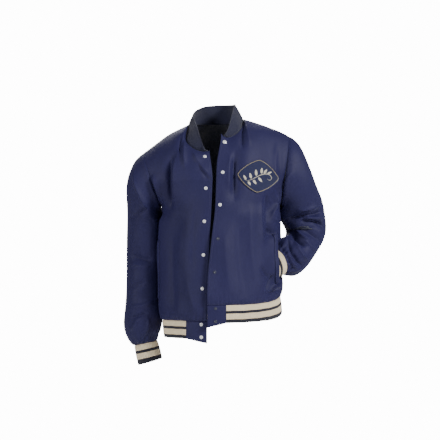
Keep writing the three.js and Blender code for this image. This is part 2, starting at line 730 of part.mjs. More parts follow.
// The hem: a ribbed band with a plain end at each front
const rowOf = (surface, row) => surface.points.slice(row * surface.across, (row + 1) * surface.across);
const normalsOf = (surface, row) => surface.normals.slice(row * surface.across, (row + 1) * surface.across);
function hemPiece(name, parts, tallest, ribbed) {
  const lean = (at, last) => (ribbed ? HEM_LEAN * smooth(Math.min(at, last - at) / HEM_LEAN_EASE) : 0);
  const line = [];
  const across = [];
  for (const [surface, from, to] of parts) {
    const points = rowOf(surface, 0);
    const normals = normalsOf(surface, 0);
    const step = Math.sign(to - from);
    for (let j = from; j !== to + step; j += step) {
      const previous = line[line.length - 1];
      if (previous && previous.distanceTo(points[j]) < 0.01) continue;
      line.push(points[j].clone());
      across.push(normals[j].clone());
    }
  }
  const fromFront = (at) => (name.endsWith("left") ? at : line.length - 1 - at) / (line.length - 1);
  const tall = (at) => (ribbed ? tallest : mix(tallest, HEM_TALL, fromFront(at)));
  const down = (at) => v3(lean(at, line.length - 1), 0, -tall(at));
  const { rows, normals, rise } = band(line, across, down, { ribbed });
  const surface = gridSurface(rows);
  surface.normals = normals;
  surface.edges = openEdges(surface);
  add(name, wall(surface, RIB_CLOTH, { rise }), FINISHES.rib);
  return surface;
}
const { front_right: frontRight, front_left: frontLeft, back } = surfaces;
const hemSurfaces = {
  right: hemPiece("hem_end_right", [[frontRight, HEM_END_STEPS.right, 0]], HEM_END_TALL, false),
  left: hemPiece("hem_end_left", [[frontLeft, 0, HEM_END_STEPS.left]], HEM_END_TALL, false),
};
hemPiece(
  "hem_band",
  [
    [frontLeft, HEM_END_STEPS.left, FRONT_STEPS],
    [back, back.across - 1, 0],
    [frontRight, FRONT_STEPS, HEM_END_STEPS.right],
  ],
  HEM_TALL,
  true,
);

// The cuffs
for (const side of ["right", "left"]) {
  const centre = centreOf(sleeveEnd(side));
  const path = centreOf(CUFF_ENDS[side]).sub(centre).normalize();
  const line = rowOf(sleeves[side], SLEEVE_STEPS);
  const outwards = line.map((p) => p.clone().sub(centre).normalize());
  const end = ring(CUFF_ENDS[side], path, side);
  const drop = line.map((p, j) => end[j].clone().sub(p));
  const down = (at) => {
    const j = Math.floor(at) % line.length;
    return drop[j].clone().lerp(drop[(j + 1) % line.length], at - Math.floor(at));
  };
  const { rows, normals, rise } = band(line, outwards, down, { round: true });
  const surface = gridSurface(rows, { round: true, turned: side === "right" });
  surface.normals = normals;
  surface.edges = openEdges(surface);
  add(`cuff_${side}`, wall(surface, RIB_CLOTH, { rise }), FINISHES.rib);
}

// Pocket welts lie on the fronts along the pocket mouths.
for (const side of ["right", "left"]) {
  const front = surfaces[`front_${side}`];
  const rows = [];
  for (let i = POCKET.low; i <= POCKET.high; i++) {
    rows.push([POCKET.column - 1, POCKET.column].map((j) => front.points[i * front.across + j].clone()));
  }
  const surface = gridSurface(rows, { turned: side === "right" });
  add(`pocket_welt_${side}`, wall(surface, CLOTH, { from: CLOTH + LAID_ON }), FINISHES.twill);
}

// The outside of a panel straight behind a place seen from the front.
function onFront(surface, x, z) {
  let best = null;
  for (const face of surface.faces) {
    for (const [i, j, k] of [[0, 1, 2], [0, 2, 3]]) {
      const [a, b, c] = [surface.points[face[i]], surface.points[face[j]], surface.points[face[k]]];
      const area = (b.x - a.x) * (c.z - a.z) - (c.x - a.x) * (b.z - a.z);
      if (Math.abs(area) < 1e-6) continue;
      const u = ((x - a.x) * (c.z - a.z) - (c.x - a.x) * (z - a.z)) / area;
      const w = ((b.x - a.x) * (z - a.z) - (x - a.x) * (b.z - a.z)) / area;
      if (u < -1e-6 || w < -1e-6 || u + w > 1 + 1e-6) continue;
      const y = a.y + u * (b.y - a.y) + w * (c.y - a.y);
      if (best && best.point.y <= y) continue;
      const normal = b.clone().sub(a).cross(c.clone().sub(a)).normalize();
      best = { point: v3(x, y, z), normal: normal.y > 0 ? normal.negate() : normal };
    }
  }
  if (!best) throw new Error(`nothing at ${x}, ${z}`);
  return best;
}

// The felt badge on the left chest: a lozenge with eased sides
function badge() {
  const around = 24;
  const ringsOut = 3;
  const points = [];
  const place = (r, a) => {
    const { lobe: k } = BADGE;
    const lobe = (Math.abs(Math.cos(a)) ** k + Math.abs(Math.sin(a)) ** k) ** (-1 / k);
    const [x, z] = [BADGE.halfWide * r * lobe * Math.cos(a), BADGE.halfTall * r * lobe * Math.sin(a)];
    const [c, s] = [Math.cos(BADGE.turn), Math.sin(BADGE.turn)];
    return onFront(frontLeft, BADGE.x + c * x - s * z, BADGE.z + s * x + c * z).point;
  };
  points.push(place(0, 0));
  for (let i = 1; i <= ringsOut; i++) {
    for (let j = 0; j < around; j++) points.push(place(i / ringsOut, (j / around) * 2 * Math.PI));
  }
  const at = (i, j) => 1 + (i - 1) * around + (j % around);
  const faces = [];
  for (let j = 0; j < around; j++) {
    faces.push([0, at(1, j), at(1, j + 1)]);
    for (let i = 1; i < ringsOut; i++) faces.push([at(i, j), at(i + 1, j), at(i + 1, j + 1), at(i, j + 1)]);
  }
  const geometry = wall({ points, faces }, BADGE.thick, { from: BADGE.thick + BADGE.under });
  add("chest_badge", geometry, FINISHES.felt);
}
badge();

// Snaps: studs on the right front, caps on the left
const SNAPS = table("side x z", [
  ["right", -36, -114],
  ["right", -33, -208],
  ["right", -37, -306],
  ["right", -40, -405],
  ["right", -43, -504],
  ["left", 23, -70],
  ["left", 17, -161],
  ["left", 9, -257],
  ["left", 3, -357],
  ["left", -6, -455],
]);
function snapShape() {
  const { radius, height } = SNAP;
  const shares = [[0, 0], [0.86, 0], [1, 0.3], [0.8, 0.75], [0, 1]];
  const profile = shares.map(([r, h]) => new THREE.Vector2(r * radius, h * height));
  return new THREE.LatheGeometry(profile, SNAP.sides);
}
function addSnap(name, { point, normal }) {
  const mesh = add(name, snapShape(), FINISHES.metal);
  mesh.quaternion.setFromUnitVectors(v3(0, 1, 0), normal);
  mesh.position.copy(point).addScaledVector(normal, SNAP.clear);
}
for (const side of ["right", "left"]) {
  const places = SNAPS.filter((row) => row.side === side);
  places.forEach(({ x, z }, i) => addSnap(`snap_${side}_${i + 1}`, onFront(surfaces[`front_${side}`], x, z)));
  const end = hemSurfaces[side];
  const x = places[places.length - 1].x + (side === "right" ? -3 : 2);
  const edge = Math.max(...end.points.map((p) => p.z));
  [SNAP.fromSeam, HEM_END_TALL - SNAP.fromHem].forEach((below, i) =>
    addSnap(`snap_${side}_${places.length + 1 + i}`, onFront(end, x, edge - below)));
}

export default jacket;
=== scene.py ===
# %% [markdown]
# # A varsity jacket
# The jacket is a hollow shell of thin cloth: two fronts, a back, two sleeves, a knit collar and ribbed bands.
# Each piece could be draped by simulation, but the pose is fixed, so it is laid instead. The frame already
# holds every cloth piece as a coarse wall. Each wall is read as a net of points, a finer net is laid through it on
# smooth curves, and the folds, creases, ribs and seams are worked into that finer net.

# %% Load the frame
import math

import bmesh
import bpy
import numpy as np
from mathutils import Matrix, Vector
from mathutils.bvhtree import BVHTree


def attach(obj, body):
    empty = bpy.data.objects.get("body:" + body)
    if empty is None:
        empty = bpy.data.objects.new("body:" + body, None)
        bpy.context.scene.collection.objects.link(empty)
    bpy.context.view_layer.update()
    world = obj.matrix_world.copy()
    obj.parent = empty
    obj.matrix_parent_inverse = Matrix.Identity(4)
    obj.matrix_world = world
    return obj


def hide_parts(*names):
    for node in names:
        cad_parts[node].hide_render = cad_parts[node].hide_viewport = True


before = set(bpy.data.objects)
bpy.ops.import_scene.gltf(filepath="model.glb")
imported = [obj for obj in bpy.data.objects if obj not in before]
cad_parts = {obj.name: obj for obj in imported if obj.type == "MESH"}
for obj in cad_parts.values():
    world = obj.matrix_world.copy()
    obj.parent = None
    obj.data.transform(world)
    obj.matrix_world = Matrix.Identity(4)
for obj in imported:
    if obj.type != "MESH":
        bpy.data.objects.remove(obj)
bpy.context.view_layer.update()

MM = 0.001
scene = bpy.context.scene
print("frame nodes:", len(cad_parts))

# %% [markdown]
# ## The camera
# The photograph was taken from straight in front, a few metres away and at chest height, with a long lens. A level
# camera four metres off gives the same mild perspective.

# %% Place the camera
CAMERA = {"place": (0.009, -4.0, -0.302), "lens": 107, "sensor": 36}
camera_data = bpy.data.cameras.new("camera")
camera_data.lens = CAMERA["lens"]
camera_data.sensor_width = CAMERA["sensor"]
camera_data.clip_end = 50
camera = bpy.data.objects.new("camera", camera_data)
camera.location = CAMERA["place"]
camera.rotation_euler = (math.pi / 2, 0, 0)
scene.collection.objects.link(camera)
scene.camera = camera
print("camera", CAMERA)

# %% [markdown]
# ## Floor and light
# A pale floor lies where the wearer's feet would be. The light is a soft studio light: one large lamp high in front
# on the jacket's own left, which gives that front its gentle sheen, a weaker one opposite and one behind. The
# surround is pure white to the camera, as in the photograph, but lights the cloth only weakly, so the folds show.

# %% Add the floor, the surround and the lamps
FLOOR_Z = -1.45
FLOOR_SIZE = 5


def add_floor():
    bm = bmesh.new()
    bmesh.ops.create_grid(bm, x_segments=1, y_segments=1, size=FLOOR_SIZE / 2)
    bmesh.ops.translate(bm, verts=bm.verts, vec=(0, 0, FLOOR_Z))
    mesh = bpy.data.meshes.new("studio_floor")
    bm.to_mesh(mesh)
    bm.free()
    floor = bpy.data.objects.new("studio_floor", mesh)
    scene.collection.objects.link(floor)
    return floor


def add_lamp(name, place, aim, size, watts):
    lamp = bpy.data.lights.new(name, "AREA")
    lamp.shape = "RECTANGLE"
    lamp.size, lamp.size_y = size
    lamp.energy = watts
    holder = bpy.data.objects.new(name, lamp)
    holder.location = place
    holder.rotation_euler = (Vector(aim) - Vector(place)).to_track_quat("-Z", "Y").to_euler()
    scene.collection.objects.link(holder)
    return holder


CHEST = (0, 0, -0.3)
floor = add_floor()
add_lamp("key", (2.6, -2.0, 1.3), CHEST, (0.8, 0.8), 126)
add_lamp("fill", (-2.4, -2.2, 0.5), CHEST, (0.8, 0.8), 50)
add_lamp("rim", (-0.6, 2.6, 1.6), CHEST, (2.0, 1.0), 40)
SURROUND = {"lighting": 0.2, "seen": 14.0}


def add_surround():
    world = bpy.data.worlds.new("surround")
    world.use_nodes = True
    tree = world.node_tree
    background = tree.nodes["Background"]
    background.inputs["Color"].default_value = (1, 1, 1, 1)
    path = tree.nodes.new("ShaderNodeLightPath")
    strength = tree.nodes.new("ShaderNodeMapRange")
    strength.inputs["To Min"].default_value = SURROUND["lighting"]
    strength.inputs["To Max"].default_value = SURROUND["seen"]
    tree.links.new(path.outputs["Is Camera Ray"], strength.inputs["Value"])
    tree.links.new(strength.outputs["Result"], background.inputs["Strength"])
    return world


scene.world = add_surround()

# %% [markdown]
# ## Shader maths
# A material is a few sums on numbers and colours. Wrapping a socket in a small class lets those sums be written as
# plain Python, so a mask reads as 1 - mask. Every other node comes from one method that sets its options first.


# %% A socket that can be added and multiplied
class Value:
    def __init__(self, paint, socket):
        self.paint = paint
        self.socket = socket

    def sum(self, kind, a, b=None):
        return self.paint.node("ShaderNodeMath", {"operation": kind}, {0: a} if b is None else {0: a, 1: b})

    def __add__(self, other):
        return self.sum("ADD", self, other)

    def __sub__(self, other):
        return self.sum("SUBTRACT", self, other)

    def __rsub__(self, other):
        return self.sum("SUBTRACT", other, self)

    def __mul__(self, other):
        return self.sum("MULTIPLY", self, other)

    def __truediv__(self, other):
        return self.sum("DIVIDE", self, other)

    def __gt__(self, other):
        return self.sum("GREATER_THAN", self, other)

    def __lt__(self, other):
        return self.sum("LESS_THAN", self, other)

    __radd__ = __add__
    __rmul__ = __mul__

    def sine(self):
        return self.sum("SINE", self)

    def wrapped(self):
        return self.sum("FRACT", self)

    def distance(self):
        return self.sum("ABSOLUTE", self)


class Paint:
    """One material: its nodes are made by node(), which gives back the first output as a Value."""

    def __init__(self, name):
        self.material = bpy.data.materials.new(name)
        self.material.use_nodes = True
        self.tree = self.material.node_tree
        self.shader = self.tree.nodes["Principled BSDF"]

    def node(self, kind, settings=None, values=None, out=0):
        made = self.tree.nodes.new(kind)
        for key, value in (settings or {}).items():
            if key == "stops":
                self.set_stops(made.color_ramp, value)
            else:
                setattr(made, key, value)
        for key, value in (values or {}).items():
            self.join(value, made.inputs[key])
        return Value(self, made.outputs[out])

    def set_stops(self, ramp, stops):
        for i, (place, colour) in enumerate(stops):
            stop = ramp.elements[i] if i < 2 else ramp.elements.new(place)
            stop.position = place
            stop.color = (*colour, 1)

    def join(self, value, socket):
        if isinstance(value, Value):
            self.tree.links.new(value.socket, socket)
        else:
            socket.default_value = value

    def set(self, **sockets):
        for name, value in sockets.items():
            self.join(value, self.shader.inputs[name.replace("_", " ")])

    def place(self):
        return self.node("ShaderNodeTexCoord", out="Object")

    def split(self, vector):
        parts = self.tree.nodes.new("ShaderNodeSeparateXYZ")
        self.join(vector, parts.inputs[0])
        return [Value(self, parts.outputs[i]) for i in range(3)]

    def cloth_place(self):
        """Millimetres across and along the cloth, from its own UV map."""
        return self.split(self.node("ShaderNodeUVMap", {"uv_map": "cloth"}))[:2]

    def noise(self, scale, detail=2.0, rough=0.5, at=None):
        values = {"Vector": at or self.place(), "Scale": scale, "Detail": detail, "Roughness": rough}
        return self.node("ShaderNodeTexNoise", {}, values)

    def colour(self, factor, low, high):
        values = {"Factor": factor}
        made = self.node("ShaderNodeMix", {"data_type": "RGBA"}, values, out=2)
        for key, value in ((6, low), (7, high)):
            socket = made.socket.node.inputs[key]
            self.join(value if isinstance(value, Value) else (*value, 1), socket)
        return made

    def bump(self, height, depth, strength=1.0, under=None):
        values = {"Height": height, "Distance": depth, "Strength": strength}
        if under:
            values["Normal"] = under
        return self.node("ShaderNodeBump", {}, values)


def srgb(red, green, blue):
    """Linear colour of an 8-bit screen colour."""
    def linear(c):
        c /= 255
        return c / 12.92 if c <= 0.04045 else ((c + 0.055) / 1.055) ** 2.4

    return tuple(linear(c) for c in (red, green, blue))


# %% [markdown]
# ## Finishes
# The body cloth is a smooth twill with a slight sheen: fine slanting ridges about a millimetre apart, too small to
# see from a step away, and a soft mottling where the cloth is rubbed. The knit is built from columns of stitches,
# so its ribs run along the piece and each stitch shows as a small bump. Both follow the cloth's own map in
# millimetres, so the weave turns with the sleeve.

# %% Mix the finishes
NAVY = srgb(34, 33, 69)
NAVY_RUBBED = srgb(46, 44, 89)
NAVY_KNIT = srgb(16, 16, 36)
TEAL_KNIT = srgb(29, 31, 64)
CREAM = srgb(254, 236, 202)
CREAM_SHADED = srgb(243, 222, 184)
LINING = srgb(30, 33, 52)
TAN_CORD = srgb(176, 160, 126)
TWILL_PITCH = 1.1
STITCH_PITCH = 1.9


def twill():
    paint = Paint("navy_twill")
    across, along = paint.cloth_place()
    ridges = ((across + along * 1.7) * (2 * math.pi / TWILL_PITCH / 2)).sine()
    mottled = paint.noise(9.0, 3.0)
    fine = paint.noise(320.0, 2.0)
    rubbed = paint.colour(mottled * 0.55 + fine * 0.2, NAVY, NAVY_RUBBED)
    weave = paint.bump(ridges, 0.00012, 0.35)
    crumple = paint.bump(paint.noise(60.0, 4.0, 0.55), 0.0008, 0.35, weave)
    paint.set(
        Base_Color=rubbed, Roughness=mottled * 0.12 + 0.52, Normal=crumple,
        Sheen_Weight=0.16, Sheen_Roughness=0.35, Sheen_Tint=(*srgb(160, 160, 215), 1), Specular_IOR_Level=0.22,
    )
    return paint.material


def knit(name, stripes, lit, shaded):
    """A knit of that colour, or with stripes, a list of (start, end, colour) along the cloth, in millimetres."""
    paint = Paint(name)
    across, along = paint.cloth_place()
    rows = (along * (2 * math.pi / STITCH_PITCH)).sine()
    columns = (across * (2 * math.pi / STITCH_PITCH)).sine()
    mottled = paint.noise(60.0, 3.0)
    base = paint.colour(mottled, shaded, lit)
    for start, end, colour in stripes:
        inside = (along > start) * (along < end)
        base = paint.colour(inside, base, colour)
    stitches = paint.bump(rows * columns, 0.0003, 0.6)
    fuzz = paint.bump(paint.noise(900.0, 2.0), 0.0004, 0.4, stitches)
    paint.set(
        Base_Color=base, Roughness=mottled * 0.1 + 0.82, Normal=fuzz,
        Sheen_Weight=0.25, Sheen_Roughness=0.6, Specular_IOR_Level=0.25,
    )
    return paint.material


def felt(name, low, high):
    paint = Paint(name)
    fibres = paint.noise(700.0, 4.0, 0.7)
    clouds = paint.noise(90.0, 2.0)
    paint.set(
        Base_Color=paint.colour(clouds * 0.6 + fibres * 0.4, low, high), Roughness=0.95,
        Normal=paint.bump(fibres, 0.0006, 0.6), Sheen_Weight=0.4, Specular_IOR_Level=0.15,
    )
    return paint.material


def thread(name, low, high, pitch=1.2):
    """Twisted thread: slanting strands along the piece, from its own map in millimetres."""
    paint = Paint(name)
    across, along = paint.cloth_place()
    strands = ((along + across * 0.6) * (2 * math.pi / pitch)).sine()
    # The colour follows the strands like the bump does: low is painted shade in the grooves between strands, high is
    # painted light on their crests.
    paint.set(
        Base_Color=paint.colour(strands * 0.5 + 0.5, low, high), Roughness=0.6,
        Normal=paint.bump(strands, 0.0003, 0.7), Sheen_Weight=0.2,
    )
    return paint.material


def metal(name, low, high):
    paint = Paint(name)
    worn = paint.noise(260.0, 3.0)
    paint.set(
        Base_Color=paint.colour(worn, low, high), Roughness=worn * 0.15 + 0.18,
        Metallic=0.1, Coat_Weight=0.7, Coat_Roughness=0.12,
    )
    return paint.material


FINISH = {
    "twill": twill(),
    "collar": knit("teal_knit", [], TEAL_KNIT, srgb(25, 27, 52)),
    "felt": felt("navy_felt", srgb(30, 33, 62), srgb(44, 48, 84)),
    "pearl": metal("snap_pearl", srgb(226, 226, 230), srgb(250, 250, 250)),
    "dark_metal": metal("snap_dark", srgb(40, 42, 62), srgb(70, 72, 92)),
    # Each thread's two colours are painted shade in the grooves of its twist (low) and painted light on the crests
    # (high).
    "cream_thread": thread("cream_thread", srgb(206, 196, 170), srgb(238, 232, 214)),
    "tan_cord": thread("tan_cord", srgb(140, 126, 98), srgb(186, 170, 136)),
    "navy_thread": thread("navy_thread", srgb(36, 39, 72), srgb(58, 62, 104)),
}
lining_paint = Paint("body_lining")
lining_paint.set(
    Base_Color=lining_paint.colour(lining_paint.noise(30.0), LINING, srgb(40, 43, 66)), Roughness=0.5,
    Normal=lining_paint.bump(lining_paint.noise(60.0, 3.0), 0.001, 0.3), Sheen_Weight=0.2,
)
FINISH["lining"] = lining_paint.material
floor_paint = Paint("pale_floor")
floor_paint.set(
    Base_Color=floor_paint.colour(floor_paint.noise(1.5), srgb(244, 244, 244), srgb(250, 250, 250)),
    Roughness=0.8,
)
floor.data.materials.append(floor_paint.material)
print("finishes:", sorted(FINISH))

# %% [markdown]
# ## Nets read from the frame
# Each cloth wall in the frame is a closed solid: an outside, an inside one cloth thickness behind it, and a rim of
# thin strips between them. A strip triangle is known by its one edge that is exactly one thickness long. Without
# the strips the wall falls into two sheets, and the larger one is the outside. Its rows are then found one after
# another, because the triangle on each edge of a row points to the next row.

# %% Read a wall's outside as rows of points
CLOTH = 2.0 * MM
KNIT = 2.6 * MM
RIM_TOLERANCE = 0.004 * MM


def outside(name, thick):
    """The outside sheet of a wall, as a new bmesh that the caller frees."""
    bm = bmesh.new()
    bm.from_mesh(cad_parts[name].data)
    bmesh.ops.remove_doubles(bm, verts=bm.verts, dist=0.002 * MM)
    rim = [f for f in bm.faces if any(abs(e.calc_length() - thick) < RIM_TOLERANCE for e in f.edges)]
    bmesh.ops.delete(bm, geom=rim, context="FACES_ONLY")
    left = set(bm.faces)
    sheets = []
    while left:
        sheet = [left.pop()]
        for face in sheet:
            for edge in face.edges:
                for other in edge.link_faces:
                    if other in left:
                        left.discard(other)
                        sheet.append(other)
        sheets.append(sheet)
    sheets.sort(key=lambda sheet: -sum(f.calc_area() for f in sheet))
    inside = [f for sheet in sheets[1:] for f in sheet]
    bmesh.ops.delete(bm, geom=inside, context="FACES")
    return bm


def apex(a, b, used):
    """The third corner of the unused triangle on the edge from a to b."""
    edge = next(e for e in a.link_edges if e.other_vert(a) is b)
    face = next(f for f in edge.link_faces if f not in used)
    used.add(face)
    return next(v for v in face.verts if v not in (a, b))


def march(first, rows, ahead):
    """Rows of vertices from a first row. ahead says that the triangles' long sides lean towards the row's end."""
    used = set()
    net = [first]
    for _ in range(rows):
        row = net[-1]
        tips = [apex(a, b, used) for a, b in zip(row, row[1:])]
        if ahead:
            others = [apex(a, b, used) for a, b in zip(row, tips)]
            net.append([others[0]] + tips)
        else:
            others = [apex(a, b, used) for a, b in zip(row[1:], tips)]
            net.append(tips + [others[-1]])
    return net


def rim_loop(start, towards):
    """The open edge of a sheet from one vertex round, setting out in a direction."""
    ends = [e.other_vert(start) for e in start.link_edges if e.is_boundary]
    loop = [start, max(ends, key=lambda v: (v.co - start.co).normalized().dot(Vector(towards)))]
    while loop[-1] is not start:
        here, before = loop[-1], loop[-2]
        ahead = [e.other_vert(here) for e in here.link_edges if e.is_boundary]
        loop.append(next(v for v in ahead if v is not before))
    return loop[:-1]


def corner(bm, score):
    """The corner of an open sheet that has the lowest score."""
    corners = [v for v in bm.verts if v.is_boundary and len(v.link_faces) <= 2]
    return min(corners, key=lambda v: score(v.co))


def as_net(rows):
    return np.array([[v.co[:] for v in row] for row in rows])


def read_net(name, score, towards, across, up, ahead, thick=CLOTH):
    bm = outside(name, thick)
    first = rim_loop(corner(bm, score), towards)[: across + 1]
    net = as_net(march(first, up, ahead))
    bm.free()
    return net


# %% Read the body, the sleeves and the collar
FRONT_ACROSS = 13
BACK_ACROSS = 18
BACK_NECK = 6
BODY_UP = 25
TOPSLEEVE_ACROSS = 10
UNDERSLEEVE_ACROSS = 8
SLEEVE_ALONG = 22
COLLAR_ACROSS = 18
COLLAR_UP = 3
SLIT = {"column": 10, "low": 4, "high": 10}


def read_slit_front():
    """The left front as two nets that share the pocket line and part along the pocket's slit."""
    bm = outside("front_left", CLOTH)
    first = rim_loop(corner(bm, lambda p: p.z + 2 * abs(p.x)), (1, 0, 0))[: FRONT_ACROSS + 1]
    fore = as_net(march(first[: SLIT["column"] + 1], BODY_UP, True))
    rear = as_net(march(first[SLIT["column"]:], BODY_UP, True))
    bm.free()
    return fore, rear


def read_sleeve(side):
    """Rings from the armpit forwards over the arm: both cut pieces of the sleeve put together."""
    ahead = side == "right"
    inwards = (1 if side == "right" else -1, -0.5, 0)
    top = read_net(
        f"topsleeve_{side}", lambda p: p.y - p.z, (0, 0, 1), TOPSLEEVE_ACROSS, SLEEVE_ALONG, ahead
    )
    under = read_net(
        f"undersleeve_{side}", lambda p: -p.y - p.z, inwards, UNDERSLEEVE_ACROSS, SLEEVE_ALONG, ahead
    )
    half = UNDERSLEEVE_ACROSS // 2
    seam_front = (under[:, -1:] + top[:, :1]) / 2
    seam_back = (under[:, :1] + top[:, -1:]) / 2
    return np.concatenate([under[:, half:-1], seam_front, top[:, 1:-1], seam_back, under[:, 1:half]], 1)


net_right = read_net(
    "front_right", lambda p: p.z + 2 * abs(p.x), (-1, 0, 0), FRONT_ACROSS, BODY_UP, False
)
fore_left, rear_left = read_slit_front()
net_back = read_net("back", lambda p: p.z + p.x, (1, 0, 0), BACK_ACROSS, BODY_UP, False)
net_sleeves = {side: read_sleeve(side) for side in ("right", "left")}
net_collar = read_net("collar", lambda p: p.z, (-1, 0, 0), COLLAR_ACROSS, COLLAR_UP, False, KNIT)
print("nets:", net_right.shape, fore_left.shape, rear_left.shape, net_back.shape, net_collar.shape)

# %% [markdown]
# ## Finer nets
# A Catmull-Rom curve passes through every point that it is given, so a finer net laid along such curves keeps the
# frame's shape, and its seams still meet. A few rounds of averaging then take out the small dents that the coarse
# net leaves between two points.

# %% Lay finer nets
FINE = 8


def ease(t):
    t = np.clip(t, 0, 1)
    return t * t * (3 - 2 * t)


def spline(points, steps, closed=False):
    """A smooth curve through points, along the first axis, with steps places for each span."""
    if closed:
        padded = np.concatenate([points[-1:], points, points[:2]])
    else:
        before, after = 2 * points[:1] - points[1:2], 2 * points[-1:] - points[-2:-1]
        padded = np.concatenate([before, points, after])
    out = []
    for a, b, c, d in zip(padded, padded[1:], padded[2:], padded[3:]):
        for t in np.arange(steps) / steps:
            out.append(b + 0.5 * t * (c - a + t * (2 * a - 5 * b + 4 * c - d + t * (3 * (b - c) + d - a))))
    if not closed:
        out.append(points[-1])
    return np.array(out)


def finer(net, closed=False, across=FINE, up=FINE):
    net = spline(net, up)
    return spline(net.swapaxes(0, 1), across, closed).swapaxes(0, 1)


def relaxed(net, rounds, closed=False):
    """Averages every point with its neighbours, apart from those on an open edge."""
    for _ in range(rounds):
        mean = net.copy()
        if closed:
            mean[1:-1] = (net[:-2] + net[2:] + np.roll(net, 1, 1)[1:-1] + np.roll(net, -1, 1)[1:-1]) / 4
        else:
            mean[1:-1, 1:-1] = (net[:-2, 1:-1] + net[2:, 1:-1] + net[1:-1, :-2] + net[1:-1, 2:]) / 4
        net = (net + mean) / 2
    return net


def unit(vectors):
    return vectors / np.maximum(np.linalg.norm(vectors, axis=-1, keepdims=True), 1e-12)


def outwards(net, closed=False, flip=False):
    """The outward direction at every point of a net."""
    across = np.roll(net, -1, 1) - np.roll(net, 1, 1) if closed else np.gradient(net, axis=1)
    normal = np.cross(across, np.gradient(net, axis=0))
    return unit(-normal if flip else normal)


def arcs(net, axis):
    """Millimetres from the first row or column to each point, measured along the net."""
    steps = np.linalg.norm(np.diff(net, axis=axis), axis=2) / MM
    start = np.zeros_like(steps[:1] if axis == 0 else steps[:, :1])
    return np.concatenate([start, np.cumsum(steps, axis=axis)], axis=axis)


def slit_nets():
    """The left front twice: once carried straight on past the front lip of the slit, once past its rear lip."""
    column = SLIT["column"]
    lip = np.concatenate([fore_left, rear_left[:, 1:]], 1)
    rear = np.concatenate([fore_left[:, :-1], rear_left], 1)
    for i in range(SLIT["low"] + 1, SLIT["high"]):
        for k in range(1, FRONT_ACROSS - column + 1):
            lip[i, column + k] = lip[i, column] + k * (lip[i, column] - lip[i, column - 1])
            rear[i, column - k] = rear[i, column] - k * (rear[i, column + 1] - rear[i, column])
    return finer(lip), finer(rear)


ROUNDS = 14
PIN_REACH = 12
NECK_COLUMNS = (1, 7)
ARMPIT_ROW = 16
COLLAR_FINE = 24


def pin(view, first, line):
    """Moves part of a view's first row onto a seam line. The rows beside it follow, less and less."""
    part = slice(first, first + len(line))
    shift = line - view[0, part]
    for k in range(PIN_REACH):
        view[k, part] += shift * ease(1 - k / PIN_REACH)


def pin_side(net, ring, side_seam):
    """Pins the last columns of a panel: its side seam, then its half of the armhole."""
    view = net.swapaxes(0, 1)[::-1]
    pin(view, 0, side_seam)
    pin(view, ARMPIT_ROW * FINE, ring)


def pinned_nets():
    right, back = finer(net_right), finer(net_back)
    lefts = slit_nets()
    neckline = spline(net_collar[0], FINE)
    from_edge, to_neck = (column * FINE for column in NECK_COLUMNS)
    across_back = len(back[0]) - 1
    shoulder_back = BACK_NECK * FINE
    for nets, side, necks, shoulder in (
        ([right], "right", neckline[: to_neck - from_edge + 1], net_back[-1, BACK_NECK::-1]),
        (lefts, "left", neckline[from_edge - to_neck - 1 :][::-1], net_back[-1, BACK_ACROSS - BACK_NECK :]),
    ):
        ring = spline(net_sleeves[side][0], FINE, True)
        half = len(ring) // 2
        back_view = back.swapaxes(0, 1) if side == "right" else back.swapaxes(0, 1)[::-1]
        coarse_side = net_back[: ARMPIT_ROW + 1, 0 if side == "right" else -1]
        side_seam = spline(coarse_side, FINE)
        shoulder_seam = spline(shoulder, FINE)
        for net in nets:
            pin(net[::-1], from_edge, necks)
            pin(net[::-1], to_neck, shoulder_seam)
            pin_side(net, ring[: half + 1], side_seam)
        pin(back_view, 0, side_seam)
        pin(back_view, ARMPIT_ROW * FINE, np.concatenate([ring[half:], ring[:1]])[::-1])
        if side == "right":
            pin(back[::-1], 0, shoulder_seam[::-1])
        else:
            pin(back[::-1], across_back - shoulder_back, shoulder_seam)
    pin(back[::-1], shoulder_back, neckline[to_neck - from_edge : from_edge - to_neck])
    return right, lefts, back


fine_right, fine_lefts, fine_back = pinned_nets()
fine_right, fine_back = relaxed(fine_right, ROUNDS), relaxed(fine_back, ROUNDS)
fine_left, fine_left_rear = (relaxed(net, ROUNDS) for net in fine_lefts)
fine_sleeves = {side: relaxed(finer(net, True), ROUNDS, True) for side, net in net_sleeves.items()}
fine_collar = finer(net_collar, across=COLLAR_FINE)
print("fine nets:", fine_right.shape, fine_back.shape, fine_sleeves["left"].shape, fine_collar.shape)

# %% [markdown]
# ## Folds and creases
# Cloth that hangs from the shoulders folds where it is slack: long soft folds down the body, short sharp ones
# round the elbow and small gathers wherever a band draws it in. Each crease is a row in a table: its two ends as
# seen from the front, how far it bows, its width and its height, negative for a trough. Slow waves under them keep
# any stretch from being quite flat. Near a seam every height fades out, because the seam holds the cloth.

